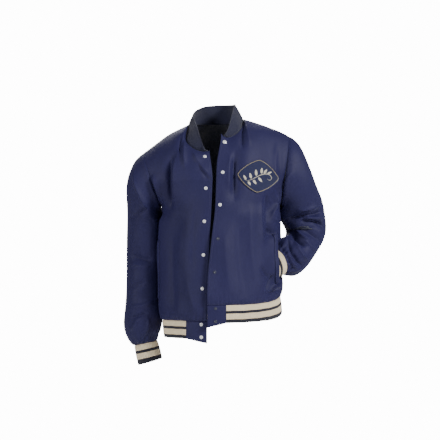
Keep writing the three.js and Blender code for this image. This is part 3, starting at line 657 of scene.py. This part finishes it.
# %% Work the folds into the nets
CREASES = [
    # x0, z0, x1, z1, bow, wide, high, facing
    (-256, -158, -205, -282, 4, 5, 3.2, -1),
    (-192, -165, -167, -238, 3, 6, 3.6, -1),
    (-137, -118, -136, -272, 3, 7, -5.0, -1),
    (-124, -112, -122, -262, 3, 7, 3.4, -1),
    (-109, -48, -109, -104, 2, 6, -3.2, -1),
    (-98, -56, -93, -150, 3, 8, 2.6, -1),
    (-74, -96, -24, -168, 4, 6, 2.6, -1),
    (-60, -118, -20, -190, 4, 7, -2.2, -1),
    (-270, -300, -205, -262, 4, 6, -2.6, -1),
    (-262, -408, -196, -424, 3, 6, -3.6, -1),
    (-268, -432, -204, -446, 3, 6, 2.6, -1),
    (-272, -505, -215, -488, 4, 6, -2.6, -1),
    (-262, -566, -190, -548, 4, 6, 2.8, -1),
    (-268, -600, -206, -580, 3, 5, -2.8, -1),
    (-262, -640, -236, -590, 3, 5, 3.0, -1),
    (-222, -655, -206, -600, 3, 5, 2.8, -1),
    (-134, -330, -126, -570, 5, 11, -1.8, -1),
    (-100, -300, -112, -590, 5, 13, 1.5, -1),
    (-62, -260, -70, -470, 6, 13, -1.4, -1),
    (-88, -470, -60, -585, 4, 11, 1.2, -1),
    (78, -14, 76, -92, 2, 6, -3.4, -1),
    (90, -10, 96, -84, 2, 8, 2.2, -1),
    (54, -98, 52, -246, 3, 7, -4.2, -1),
    (40, -104, 36, -220, 3, 8, 2.4, -1),
    (180, -70, 176, -190, 4, 9, 2.2, -1),
    (150, -214, 160, -360, 3, 8, -3.4, -1),
    (134, -232, 142, -380, 4, 8, 2.6, -1),
    (226, -154, 164, -300, 6, 7, 4.2, -1),
    (210, -180, 176, -262, 4, 7, -3.4, -1),
    (333, -270, 214, -295, -9, 6, -5.6, -1),
    (322, -250, 240, -272, -6, 7, 3.4, -1),
    (336, -326, 249, -309, 9, 6, -5.2, -1),
    (330, -300, 262, -298, 3, 6, 3.6, -1),
    (272, -383, 226, -343, -4, 5, -4.6, -1),
    (286, -366, 240, -330, -3, 6, 3.4, -1),
    (266, -450, 214, -357, -9, 5, -4.8, -1),
    (280, -428, 236, -360, -6, 6, 3.0, -1),
    (231, -444, 192, -377, -6, 5, -4.2, -1),
    (248, -456, 210, -388, -5, 5, 3.0, -1),
    (322, -372, 262, -332, 4, 7, -3.0, -1),
    (306, -404, 262, -362, 3, 6, 2.6, -1),
    (100, -240, 118, -500, 7, 13, 1.5, -1),
    (64, -300, 82, -525, 6, 13, -1.5, -1),
    (24, -330, 40, -520, 5, 14, 1.1, -1),
    (150, -330, 176, -346, 3, 7, -3.2, -1),
    (172, -462, 148, -520, 3, 5, -3.6, -1),
    (186, -470, 170, -522, 3, 5, 3.0, -1),
    (132, -440, 160, -478, 3, 6, -2.6, -1),
    (200, -488, 172, -500, 2, 4, -3.2, -1),
    (198, -500, 160, -514, 2, 4, 3.0, -1),
    (196, -514, 150, -526, 2, 4, -3.0, -1),
    (-66, -130, -150, -300, 6, 9, -3.6, 1),
    (-36, -110, -92, -330, 6, 10, 3.2, 1),
    (74, -110, 152, -300, -6, 9, -3.6, 1),
    (44, -120, 96, -330, -5, 10, 3.0, 1),
    (-18, -200, -56, -520, 8, 12, 3.0, 1),
    (42, -230, 94, -520, -8, 12, -3.4, 1),
    (-118, -330, -110, -560, 5, 9, -3.4, 1),
    (140, -340, 126, -520, 5, 9, 3.0, 1),
    (8, -330, 14, -560, 5, 10, -2.6, 1),
    (-262, -365, -190, -392, 4, 7, -3.4, 1),
    (-266, -470, -200, -452, 4, 7, -3.0, 1),
    (-270, -560, -200, -540, 4, 6, 2.8, 1),
    (-262, -300, -200, -322, 4, 7, 2.8, 1),
    (332, -268, 240, -250, -6, 7, -4.2, 1),
    (336, -330, 240, -330, -5, 7, -4.2, 1),
    (322, -300, 244, -292, -4, 7, 3.0, 1),
    (304, -402, 238, -352, -5, 6, -3.8, 1),
    (320, -366, 250, -340, -4, 7, 3.0, 1),
]
WAVES = {"long": (150, 2.0, 9), "short": (60, 0.5, 12)}
CREASE_GAIN = 2.6
SAGS = [
    # x, y, z, reach, how far the cloth sags outwards: under the left arm, at its elbow and at its wrist
    (204, 18, -280, 34, 15),
    (213, 44, -310, 26, 5),
    (198, -4, -364, 30, 13),
    (-166, 14, -290, 26, 5),
]


def crease_height(net, normal):
    """Millimetres outwards at each point, from the table of creases."""
    x, z = net[..., 0] / MM, net[..., 2] / MM
    total = np.zeros(x.shape)
    for x0, z0, x1, z1, bow, wide, high, side in CREASES:
        dx, dz = x1 - x0, z1 - z0
        long = math.hypot(dx, dz)
        share = ((x - x0) * dx + (z - z0) * dz) / long**2
        middle = 1 - (2 * np.clip(share, 0, 1) - 1) ** 2
        off = ((x - x0) * dz - (z - z0) * dx) / long - bow * middle
        taper = ease((share + 0.06) / 0.36) * ease((1.06 - share) / 0.36)
        crest = np.exp(-1.3 * (np.sqrt((off / wide) ** 2 + 0.09) - 0.3))
        total += ease((normal[..., 1] * side - 0.05) / 0.4) * taper * high * crest
    return CREASE_GAIN * total


def sag_height(net):
    """Millimetres outwards where slack cloth sags, round each row's middle."""
    total = np.zeros(net.shape[:2])
    for x, y, z, reach, high in SAGS:
        away = np.linalg.norm(net / MM - (x, y, z), axis=-1)
        total += high * np.exp(-((away / reach) ** 2))
    return total


def wave_height(net, seed, upright=0.35):
    """Slow uneven waves, mostly with upright crests. The same seed gives the same waves on every piece."""
    rng = np.random.default_rng(seed)
    total = np.zeros(net.shape[:2])
    for length, high, count in WAVES.values():
        for _ in range(count):
            turn = rng.uniform(0, 2 * math.pi)
            lift = rng.normal(0, upright)
            vector = np.array([math.cos(turn), math.sin(turn), lift]) * 2 * math.pi / (length * MM)
            vector *= rng.uniform(0.7, 1.4)
            total += high / math.sqrt(count) * np.sin(net @ vector + rng.uniform(0, 2 * math.pi))
    return total


def gathered(along, away, pitch, high, reach):
    """Small gathers beside a seam: along and away are millimetres along it and from it."""
    uneven = 0.7 + 0.3 * np.sin(along / (2.7 * pitch))
    return high * uneven * np.sin(2 * math.pi * along / pitch) * np.exp(-away / reach) * ease(away / 5)


SEAM_DIP = 0.9
SEAM_WIDE = 3.5
SEAM_HOLD = 16


def body_height(net, normal, seams, gathers):
    """The whole height for a piece. seams: distances to its held edges. gathers: rows for gathered()."""
    nearest = np.minimum.reduce(seams)
    height = (crease_height(net, normal) + wave_height(net, 5)) * ease(nearest / SEAM_HOLD)
    for row in gathers:
        height += gathered(*row)
    return height - SEAM_DIP * np.exp(-((nearest / SEAM_WIDE) ** 2))


def dressed_front(net, flip):
    across, up = arcs(net, 1), arcs(net, 0)
    rows, columns = np.indices(across.shape)
    hem, top, side = up, up[-1:] - up, across[:, -1:] - across
    normal = outwards(net, flip=flip)
    gathers = [(across, hem, 13, 1.5, 20), (up, side + 4, 17, 0.5, 14)]
    height = body_height(net, normal, [hem, top, side], gathers)
    return net + normal * (height * MM)[..., None]


def dressed_back(net):
    across, up = arcs(net, 1), arcs(net, 0)
    normal = outwards(net, flip=True)
    sides = [across, across[:, -1:] - across]
    gathers = [(across, up, 13, 1.5, 22)]
    height = body_height(net, normal, [up, up[-1:] - up, *sides], gathers)
    return net + normal * (height * MM)[..., None]


def dressed_sleeve(net, side):
    loop = np.concatenate([net, net[:, :1]], 1)
    around, along = arcs(loop, 1)[:, :-1], arcs(net, 0)
    normal = outwards(net, closed=True, flip=side == "left")
    held = ease(np.minimum(along, along[-1:] - along) / SEAM_HOLD)
    net = net + normal * (sag_height(net) * held * MM)[..., None]
    normal = outwards(net, closed=True, flip=side == "left")
    cuff = along[-1:] - along
    gathers = [(around, cuff, 14, 2.2, 24), (around, along, 15, 0.6, 16)]
    height = body_height(net, normal, [along, cuff], gathers)
    return net + normal * (height * MM)[..., None]


cloth_right = dressed_front(fine_right, True)
cloth_left, cloth_left_rear = (dressed_front(net, False) for net in (fine_left, fine_left_rear))
cloth_back = dressed_back(fine_back)
cloth_sleeves = {side: dressed_sleeve(net, side) for side, net in fine_sleeves.items()}
lip_column = SLIT["column"] * FINE
closed_rows = np.ones(len(cloth_left), dtype=bool)
closed_rows[SLIT["low"] * FINE + 1 : SLIT["high"] * FINE] = False
meeting = (cloth_left[closed_rows, lip_column] + cloth_left_rear[closed_rows, lip_column]) / 2
cloth_left[closed_rows, lip_column] = meeting
cloth_left_rear[closed_rows, lip_column] = meeting
print("creases:", len(CREASES))

# %% [markdown]
# ## Cloth pieces
# A piece of cloth begins as a flat grid, which bmesh makes in one call. Each of its corners is then moved to its
# point of the net, and a Solidify modifier gives the cloth its thickness and, on the inside, the lining's finish.
# The grid's map keeps millimetres across and along the cloth, for the weave.


# %% Turn a net into a piece
def cloth_piece(name, net, finish, node, flip=False, closed=False, thick=CLOTH, inner="lining", rear=None):
    """A sheet of cloth on a net. rear: a second net for the far side of the pocket's slit."""
    rows, columns = len(net) - 1, net.shape[1] - (0 if closed else 1)
    bm = bmesh.new()
    bmesh.ops.create_grid(bm, x_segments=columns, y_segments=rows, size=0.5)

    def at(v):
        return round((v.co.y + 0.5) * rows), round((v.co.x + 0.5) * columns)

    if rear is not None:
        low, high = SLIT["low"] * FINE, SLIT["high"] * FINE
        slit = [e for e in bm.edges if all(at(v)[1] == lip_column and low <= at(v)[0] <= high for v in e.verts)]
        bmesh.ops.split_edges(bm, edges=slit)
    loop = np.concatenate([net, net[:, :1]], 1) if closed else net
    across, along = arcs(loop, 1), arcs(loop, 0)
    layer = bm.loops.layers.uv.new("cloth")
    places = {v: at(v) for v in bm.verts}
    behind = set()
    for face in bm.faces:
        face.smooth = True
        for corner_loop in face.loops:
            i, j = places[corner_loop.vert]
            corner_loop[layer].uv = (across[i, j], along[i, j])
        if rear is not None and max(places[v][1] for v in face.verts) > lip_column:
            behind.update(face.verts)
    for v, (i, j) in places.items():
        v.co = rear[i, j] if v in behind and j >= lip_column else loop[i, j]
    if closed:
        bmesh.ops.remove_doubles(bm, verts=bm.verts, dist=0.01 * MM)
    if flip:
        bmesh.ops.reverse_faces(bm, faces=bm.faces)
    mesh = bpy.data.meshes.new(name)
    bm.to_mesh(mesh)
    area = sum(f.calc_area() for f in bm.faces)
    bm.free()
    piece = bpy.data.objects.new(name, mesh)
    scene.collection.objects.link(piece)
    mesh.materials.append(FINISH[finish])
    mesh.materials.append(FINISH[inner])
    solidify = piece.modifiers.new("thickness", "SOLIDIFY")
    solidify.thickness = thick
    solidify.offset = -1
    solidify.material_offset = 1
    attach(piece, "root")
    if node:
        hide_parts(*([node] if isinstance(node, str) else node))
    wide, long = across.max() * MM, along.max() * MM
    piece["cut"] = (float(wide), float(long), float(area))
    print(f"{name}: {len(mesh.polygons)} faces, {wide:.3f} x {long:.3f} m, area {area:.4f} m2")
    return piece


PIECES = {}
PIECES["front_right"] = cloth_piece("cloth_front_right", cloth_right, "twill", "front_right", flip=True)
PIECES["front_left"] = cloth_piece(
    "cloth_front_left", cloth_left, "twill", "front_left", rear=cloth_left_rear
)
PIECES["back"] = cloth_piece("cloth_back", cloth_back, "twill", "back", flip=True)
for side, net in cloth_sleeves.items():
    nodes = (f"topsleeve_{side}", f"undersleeve_{side}")
    PIECES[f"sleeve_{side}"] = cloth_piece(
        f"cloth_sleeve_{side}", net, "twill", nodes, flip=side == "left", closed=True
    )

# %% [markdown]
# ## The collar
# The collar is a strip of fine rib knit that stands on the neckline. Its ribs run up it, about four millimetres
# apart, and its free edge is a fold, so it is a little fuller there.

# %% Knit the collar
COLLAR_RIB = {"pitch": 4.2, "high": 0.4}
COLLAR_EDGE_FULL = 0.9
COLLAR_TUCK = {"down": 4.0, "in": 2.2}  # its seam allowance lies under the neckline


def ribs(along, pitch, high):
    return high * (0.5 + 0.5 * np.cos(2 * math.pi * along / pitch))


def collar_net():
    net = fine_collar
    across, up = arcs(net, 1), arcs(net, 0)
    share = up / up[-1:]
    normal = outwards(net, flip=True)
    height = ribs(across.mean(0)[None, :], COLLAR_RIB["pitch"], COLLAR_RIB["high"])
    height = height * ease(share / 0.1) + COLLAR_EDGE_FULL * ease((share - 0.85) / 0.15)
    height -= SEAM_DIP * np.exp(-((up / SEAM_WIDE) ** 2))
    height += 0.5 * wave_height(net, 9) * ease(share / 0.3)
    dressed = net + normal * (height * MM)[..., None]
    dressed[0] += (unit(net[0] - net[2]) * COLLAR_TUCK["down"] - normal[0] * COLLAR_TUCK["in"]) * MM
    return dressed


PIECES["collar"] = cloth_piece(
    "knit_collar", collar_net(), "collar", "collar", flip=True, thick=KNIT, inner="collar"
)

# %% [markdown]
# ## The striped bands
# The hem and the cuffs are rib knit: cream, navy, cream and navy again, in rings. The knit is narrower than the
# cloth above it, which is what draws that cloth into gathers. Each band hangs from the last row of the cloth,
# measured into equal ribs, so that no rib is cut at the seam.

# %% Measure a seam into equal steps
BAND_RIB = {"pitch": 5.0, "high": 0.9, "steps": 6}
HEM_TALL = 53
HEM_END_TALL = 66
HEM_LEAN = 7
BAND_ROWS = 16


def even_places(line, closed=False, pitch=BAND_RIB["pitch"]):
    """The line again with even steps, a whole number of ribs long."""
    loop = np.concatenate([line, line[:1]]) if closed else line
    far = np.concatenate([[0], np.cumsum(np.linalg.norm(np.diff(loop, axis=0), axis=1))])
    count = max(1, round(far[-1] / MM / pitch)) * BAND_RIB["steps"]
    places = np.linspace(0, far[-1], count + 1)
    out = np.stack([np.interp(places, far, loop[:, k]) for k in range(3)], 1)
    return out[:-1] if closed else out


def level_outwards(line):
    """The level direction away from the line's middle, across its run."""
    run = np.gradient(line, axis=0)
    side = unit(np.stack([run[:, 1], -run[:, 0], np.zeros(len(run))], 1))
    middle = line.mean(0)
    return side * np.sign((side * (line - middle)).sum(1).sum())


def band_net(top, bottom, normal, ribbed=True, bulge=1.2):
    share = np.linspace(0, 1, BAND_ROWS + 1)[:, None, None]
    net = top[None] * (1 - share) + bottom[None] * share
    phase = np.arange(len(top)) % BAND_RIB["steps"] / BAND_RIB["steps"]
    rise = BAND_RIB["high"] * (0.5 + 0.5 * np.cos(2 * math.pi * phase)) if ribbed else np.zeros(len(top))
    edge = ease(share[..., 0] / 0.05) * ease((1 - share[..., 0]) / 0.05 + 0.2)
    height = rise[None] * edge + bulge * np.sin(math.pi * share[..., 0])
    height = height - 0.8 * np.exp(-((share[..., 0] / 0.04) ** 2))
    return net + normal[None] * (height * MM)[..., None]


# %% Sew on the hem
END_COLUMNS = {"right": 4 * FINE, "left": 2 * FINE}
hem_run = np.concatenate([
    cloth_left[0, END_COLUMNS["left"] : lip_column],
    cloth_left_rear[0, lip_column:-1],
    cloth_back[0, ::-1],
    cloth_right[0, END_COLUMNS["right"] : -1][::-1],
])
FINISH["hem"] = knit(
    "hem_stripes",
    [(17.5, 25.5, NAVY_KNIT), (42.5, 200, NAVY_KNIT)], CREAM, CREAM_SHADED,
)
FINISH["cuff"] = knit(
    "cuff_stripes",
    [(18, 27, NAVY_KNIT), (44.5, 200, NAVY_KNIT)], CREAM, CREAM_SHADED,
)


def hem_band():
    top = even_places(hem_run)
    share = np.linspace(0, 1, len(top))
    lean = HEM_LEAN * ease(np.minimum(share, 1 - share) / 0.2)
    drop = np.stack([lean, np.zeros(len(top)), np.full(len(top), -HEM_TALL)], 1) * MM
    net = band_net(top, top + drop, level_outwards(top))
    return cloth_piece("knit_hem", net, "hem", "hem_band", thick=KNIT, inner="hem", flip=True)


def hem_end(side, row):
    top = row[0, : END_COLUMNS[side] + 1]
    run = np.gradient(top, axis=0)
    normal = unit(np.stack([run[:, 1], -run[:, 0], np.zeros(len(run))], 1))
    normal *= -np.sign(normal[:, 1:2])
    tall = np.linspace(HEM_END_TALL, HEM_TALL, len(top))[:, None]
    net = band_net(top, top - tall * np.array([0, 0, MM]), normal, ribbed=False, bulge=0.8)
    return cloth_piece(
        f"cloth_hem_end_{side}", net, "twill", f"hem_end_{side}", flip=side == "left", inner="twill",
        thick=KNIT,
    )


PIECES["hem"] = hem_band()
for side, net in (("right", cloth_right), ("left", cloth_left)):
    PIECES[f"hem_end_{side}"] = hem_end(side, net)

# %% Sew on the cuffs
CUFF_ENDS = {
    # the open end's outer point, its inner point and half its depth
    "right": ((-241, 15, -747), (-169, 15, -726), 40),
    "left": ((154, -60, -487), (130, -64, -414), 29),
}


def cuff_ring(side, path, count):
    outer, inner, deep = (np.array(part) * MM for part in CUFF_ENDS[side])
    centre = (outer + inner) / 2
    long = outer - centre
    front = unit(np.cross(long, path)) * (-1 if side == "left" else 1)
    angle = np.linspace(0, 2 * math.pi, count, endpoint=False)[:, None]
    return centre - long * np.cos(angle) + front * deep * np.sin(angle)


def cuff(side):
    seam = cloth_sleeves[side][-1]
    outer, inner, _ = CUFF_ENDS[side]
    path = unit((np.array(outer) + np.array(inner)) / 2 * MM - seam.mean(0))
    top = even_places(seam, closed=True)
    bottom = cuff_ring(side, path, len(top))
    normal = unit(top - top.mean(0))
    net = band_net(top, bottom, normal)
    return cloth_piece(
        f"knit_cuff_{side}", net, "cuff", f"cuff_{side}",
        closed=True, flip=side == "left", thick=KNIT, inner="cuff",
    )


for side in ("right", "left"):
    PIECES[f"cuff_{side}"] = cuff(side)

# %% [markdown]
# ## Pocket welts
# A slanted pocket has a welt: a narrow folded strip that stiffens its front lip and hides the opening. It is a
# double thickness of the same twill, laid on the front and stitched down along both long sides. The same net that
# gave the front gives the welt, a little further out.

# %% Lay the welts on the fronts
WELT = {"columns": (9 * FINE, 10 * FINE), "rows": (4 * FINE, 10 * FINE), "thick": 1.6, "full": 0.7}
FRONTS = {"right": cloth_right, "left": cloth_left}


def strip_of(net, rows, columns, flip, lift):
    """A strip of a front's net, lifted off it by that many millimetres."""
    normal = outwards(net, flip=flip)
    part = (slice(rows[0], rows[1] + 1), slice(columns[0], columns[1] + 1))
    return net[part] + normal[part] * lift * MM


def welt(side):
    net = strip_of(FRONTS[side], WELT["rows"], WELT["columns"], side == "right", WELT["thick"])
    normal = outwards(net, flip=side == "right")
    share = np.linspace(0, 1, net.shape[1])[None, :, None]
    net = net + normal * WELT["full"] * MM * np.sin(math.pi * share)
    return cloth_piece(
        f"cloth_welt_{side}", net, "twill", f"pocket_welt_{side}",
        flip=side == "right", thick=WELT["thick"] * MM, inner="twill",
    )


for side in ("right", "left"):
    PIECES[f"welt_{side}"] = welt(side)

# %% [markdown]
# ## The chest badge
# The badge is a felt lozenge that is sewn to the left chest, with a corded edge and an embroidered sprig. It is drawn
# flat, and every point is then dropped on to the front along the line of sight, so it bends with the cloth. The cord
# and the stems are round threads; each leaf is a small pad of satin stitches, fullest along its middle.

# %% Drop a flat drawing on to the front
BADGE = {"x": 122, "z": -172, "half": (62, 49), "turn": 0.09, "thick": 1.4, "around": 96, "rings": 12, "lobe": 1.35}
DROP_FROM = -1.0


def surface_of(name):
    mesh = PIECES[name].data
    return BVHTree.FromPolygons([v.co[:] for v in mesh.vertices], [p.vertices[:] for p in mesh.polygons])


chest = surface_of("front_left")


def dropped(points, lift):
    """Flat drawing points, in millimetres from the badge's middle, laid on the chest and lifted off it."""
    turn = BADGE["turn"]
    out, normals = [], []
    for u, v in points:
        x = BADGE["x"] + u * math.cos(turn) + v * math.sin(turn)
        z = BADGE["z"] - u * math.sin(turn) + v * math.cos(turn)
        place, normal, _, _ = chest.ray_cast(Vector((x * MM, DROP_FROM, z * MM)), Vector((0, 1, 0)))
        normal = normal if normal.y < 0 else -normal
        out.append(place + normal * lift * MM)
        normals.append(normal)
    return np.array(out), np.array(normals)


def lozenge(share):
    """The badge's outline at that share of its size: a rounded lozenge."""
    angle = np.linspace(0, 2 * math.pi, BADGE["around"], endpoint=False)
    wide, high = BADGE["half"]
    c, s = np.cos(angle), np.sin(angle)
    reach = (np.abs(c) ** BADGE["lobe"] + np.abs(s) ** BADGE["lobe"]) ** (-1 / BADGE["lobe"])
    return np.stack([wide * c, high * s], 1) * (reach * share)[:, None]


def badge_net():
    shares = np.concatenate([np.linspace(1, 0.08, BADGE["rings"]), [0.002]])
    return np.array([dropped(lozenge(share), BADGE["thick"])[0] for share in shares])


PIECES["badge"] = cloth_piece(
    "felt_badge", badge_net(), "felt", "chest_badge", closed=True, flip=True,
    thick=BADGE["thick"] * MM, inner="felt",
)
PIECES["badge"]["cut"] = (*(2 * half * MM for half in BADGE["half"]), PIECES["badge"]["cut"][2])


# %% Sew the cord and the sprig
def plain_piece(name, bm, finish):
    """A finished piece from a bmesh, with no modifier."""
    for face in bm.faces:
        face.smooth = True
    mesh = bpy.data.meshes.new(name)
    bm.to_mesh(mesh)
    bm.free()
    mesh.materials.append(FINISH[finish])
    piece = bpy.data.objects.new(name, mesh)
    scene.collection.objects.link(piece)
    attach(piece, "root")
    print(f"{name}: {len(mesh.polygons)} faces")
    return piece


def lay_tube(bm, path, normals, radius, closed=False, sides=8):
    """Adds a round thread along a path to a bmesh. radius: one number, or one for each point."""
    steps = len(path) if closed else len(path) - 1
    made = bmesh.ops.create_grid(bm, x_segments=sides, y_segments=steps, size=0.5, calc_uvs=False)["verts"]
    run = np.roll(path, -1, 0) - np.roll(path, 1, 0) if closed else np.gradient(path, axis=0)
    side = unit(np.cross(run, normals))
    up = unit(np.cross(side, run))
    far = np.concatenate([[0], np.cumsum(np.linalg.norm(np.diff(path, axis=0), axis=1))]) / MM
    radius = np.broadcast_to(radius, len(path)) * MM
    layer = bm.loops.layers.uv.get("cloth") or bm.loops.layers.uv.new("cloth")
    for v in made:
        i, j = round((v.co.y + 0.5) * steps), round((v.co.x + 0.5) * sides)
        angle = 2 * math.pi * j / sides
        for loop in v.link_loops:
            loop[layer].uv = (j * 2 * math.pi * radius[0] / MM / sides, far[min(i, len(far) - 1)])
        i %= len(path)
        v.co = path[i] + (side[i] * math.cos(angle) + up[i] * math.sin(angle)) * radius[i]
    bmesh.ops.remove_doubles(bm, verts=made, dist=0.005 * MM)


def curve_points(points, steps=10, closed=False):
    return spline(np.array(points, dtype=float), steps, closed)


CORD = {"radius": 1.0, "share": 0.96}
STEM = {"radius": 1.3, "lift": 1.9}
STEMS = [
    # one branch that bends over the badge and ends in a tendril
    [(-46, -16), (-34, -17), (-20, -12), (-6, -3), (8, 5), (22, 9), (34, 7), (40, -1), (35, -8), (28, -5), (29, 1)],
]
LEAVES = [
    # pairs along the branch: the foot, the tip and half the width
    ((-34, -16), (-45, 1), 4.8), ((-30, -17), (-20, -31), 4.8), ((-20, -11), (-27, 9), 5.2),
    ((-16, -11), (-3, -26), 5.2), ((-6, -2), (-10, 21), 5.4), ((-2, -2), (14, -18), 5.2), ((8, 6), (8, 28), 5.2),
    ((14, 7), (25, 25), 4.8), ((24, 9), (41, 18), 4.0),
]

bm = bmesh.new()
outline, outline_normals = dropped(lozenge(CORD["share"]), BADGE["thick"] + 0.7)
lay_tube(bm, outline, outline_normals, CORD["radius"], closed=True)
bmesh.ops.recalc_face_normals(bm, faces=bm.faces)
cord = plain_piece("badge_cord", bm, "tan_cord")


def add_leaf(bm, foot, tip, half, lift=BADGE["thick"]):
    """One satin-stitched leaf: a pointed pad, ribbed across by its threads."""
    foot, tip = np.array(foot, dtype=float), np.array(tip, dtype=float)
    run = tip - foot
    aside = np.array([-run[1], run[0]]) / np.linalg.norm(run)
    along, across = 14, 6
    made = bmesh.ops.create_grid(bm, x_segments=across, y_segments=along, size=0.5, calc_uvs=False)["verts"]
    layer = bm.loops.layers.uv.get("cloth") or bm.loops.layers.uv.new("cloth")
    for v in made:
        t, u = v.co.y + 0.5, 2 * v.co.x
        width = half * math.sin(math.pi * min(1, 0.03 + 0.94 * t**0.8))
        place = foot + run * t + aside * u * width
        pad = 1.6 * math.sqrt(max(0, 1 - u * u)) * max(0, math.sin(math.pi * t)) ** 0.4
        point, _ = dropped([place], lift + 0.35 + pad)
        for loop in v.link_loops:
            loop[layer].uv = (u * half, t * np.linalg.norm(run))
        v.co = point[0]


bm = bmesh.new()
for stem in STEMS:
    flat = curve_points(stem)
    path, normals = dropped(flat, STEM["lift"])
    share = np.linspace(0, 1, len(path))
    lay_tube(bm, path, normals, STEM["radius"] * (0.45 + 0.55 * np.sin(math.pi * np.clip(share, 0.04, 0.96)) ** 0.5))
for foot, tip, half in LEAVES:
    add_leaf(bm, foot, tip, half)
bmesh.ops.recalc_face_normals(bm, faces=bm.faces)
sprig = plain_piece("badge_sprig", bm, "cream_thread")

# %% [markdown]
# ## Press snaps
# Each snap is a turned metal cap on the face of the cloth, held by a ring behind it. A turned part is a profile
# spun about an axis. The profile starts flat under the cloth, comes up round the rim and domes over the middle. The
# caps on the right front and the top ones on the left are bright; the lower ones on the left are dark.

# %% Spin the snaps
CAP = [(0, 2.3), (1.8, 2.25), (3.4, 1.95), (4.6, 1.4), (5.1, 1.05), (5.5, 1.2), (5.9, 1.0), (6.0, 0.5), (5.8, 0)]
SOCKET = [(0, 0.7), (1.6, 0.7), (2.0, 1.5), (2.7, 1.9), (3.6, 1.7), (4.6, 1.2), (5.2, 1.3), (5.6, 0.9), (5.6, 0)]
SNAP_STEPS = 28
BRIGHT_LEFT = 3
SNAP_SCALE = {"right": 0.86, "left": 0.86, "first": 1.0}


def spun(name, profile, place, axis, scale, finish):
    bm = bmesh.new()
    points = [bm.verts.new((r * scale * MM, 0, h * scale * MM)) for r, h in profile]
    edges = [bm.edges.new(pair) for pair in zip(points, points[1:])]
    bmesh.ops.spin(
        bm, geom=points + edges, cent=(0, 0, 0), axis=(0, 0, 1), dvec=(0, 0, 0), angle=2 * math.pi,
        space=Matrix.Identity(4), steps=SNAP_STEPS, use_merge=True, use_normal_flip=False, use_duplicate=False,
    )
    bmesh.ops.remove_doubles(bm, verts=bm.verts, dist=0.01 * MM)
    bmesh.ops.recalc_face_normals(bm, faces=bm.faces)
    turn = Vector((0, 0, 1)).rotation_difference(Vector(axis)).to_matrix().to_4x4()
    bmesh.ops.transform(bm, matrix=Matrix.Translation(place) @ turn, verts=bm.verts)
    if sum(f.normal.dot(f.calc_center_median() - Vector(place)) for f in bm.faces) < 0:
        bmesh.ops.reverse_faces(bm, faces=bm.faces)
    return plain_piece(name, bm, finish)


faces_of = {side: surface_of(f"front_{side}") for side in ("right", "left")}
ends_of = {side: surface_of(f"hem_end_{side}") for side in ("right", "left")}
SNAPS = {"right": [], "left": []}
for side in ("right", "left"):
    for number in range(1, 8):
        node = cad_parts[f"snap_{side}_{number}"]
        middle = sum((v.co for v in node.data.vertices), Vector()) / len(node.data.vertices)
        cloth = ends_of if number > 5 else faces_of
        place, normal, _, _ = cloth[side].find_nearest(middle)
        normal = normal if normal.y < 0 else -normal
        bright = side == "right" or number <= BRIGHT_LEFT
        scale = SNAP_SCALE["first"] if side == "left" and number == 1 else SNAP_SCALE[side]
        snap = spun(
            f"cap_{side}_{number}", CAP if bright else SOCKET, place, normal, scale,
            "pearl" if bright else "dark_metal",
        )
        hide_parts(node.name)
        SNAPS[side].append(snap)

# %% [markdown]
# ## Stitching
# The front edges, the welts, the hem ends and the shoulder seams are topstitched: a row of short threads beside the
# edge, each lying half sunk in the cloth. Each stitch is a small rounded bead, stretched along the row.

# %% Sew the topstitching
STITCH = {"long": 2.6, "gap": 0.9, "radius": 0.42}


def stitch_row(bm, path, normals):
    """Beads along a path, each half sunk in the cloth."""
    far = np.concatenate([[0], np.cumsum(np.linalg.norm(np.diff(path, axis=0), axis=1))]) / MM
    pitch = STITCH["long"] + STITCH["gap"]
    starts = np.arange(pitch / 2, far[-1] - pitch / 2, pitch)
    at = [np.interp(starts, far, path[:, k]) for k in range(3)]
    up = [np.interp(starts, far, normals[:, k]) for k in range(3)]
    ahead = [np.interp(starts + 1, far, path[:, k]) for k in range(3)]
    for place, normal, tip in zip(np.stack(at, 1), unit(np.stack(up, 1)), np.stack(ahead, 1)):
        run = unit(tip - place)
        side = np.cross(normal, run)
        frame_of = Matrix([[*map(float, column), 0] for column in (run, side, normal)] + [[0, 0, 0, 1]]).transposed()
        size = Matrix.Diagonal((STITCH["long"] / 2 * MM, STITCH["radius"] * MM, STITCH["radius"] * MM, 1))
        bmesh.ops.create_icosphere(
            bm, subdivisions=1, radius=1, matrix=Matrix.Translation(place) @ frame_of @ size
        )


def beside(net, flip, axis, steps, away, span=None):
    """The line on a net that runs that many millimetres in from one of its edges, with its normals."""
    normal = outwards(net, flip=flip)
    view, normal_view = (net, normal) if axis == 1 else (net.swapaxes(0, 1), normal.swapaxes(0, 1))
    low, high = span or (0, len(view))
    view, normal_view = view[low:high, ::steps], normal_view[low:high, ::steps]
    far = arcs(view, 1)
    path, ups = [], []
    for row, row_normals, reach in zip(view, normal_view, far):
        path.append([np.interp(away, reach, row[:, k]) for k in range(3)])
        ups.append([np.interp(away, reach, row_normals[:, k]) for k in range(3)])
    return np.array(path), unit(np.array(ups))


for side, net in FRONTS.items():
    flip = side == "right"
    bm = bmesh.new()
    stitch_row(bm, *beside(net, flip, 1, 1, 6))
    shoulder = (NECK_COLUMNS[1] * FINE, len(net[0]))
    stitch_row(bm, *beside(net, flip, 0, -1, 5, shoulder))
    stitch_row(bm, *beside(net, flip, 0, 1, 4))
    ridge = strip_of(net, WELT["rows"], WELT["columns"], flip, WELT["thick"] + 0.2)
    stitch_row(bm, *beside(ridge, flip, 1, 1, 2.4))
    stitch_row(bm, *beside(ridge, flip, 1, -1, 2.4))
    plain_piece(f"stitches_front_{side}", bm, "navy_thread")

# %% [markdown]
# ## The cut sizes taken off again
# As each piece of cloth was made, it was given the size of its flat cut. The net's own lengths give that size,
# because the cloth was laid without stretching it. Here those sizes are taken off every piece again.

for name, piece in PIECES.items():
    del piece["cut"]
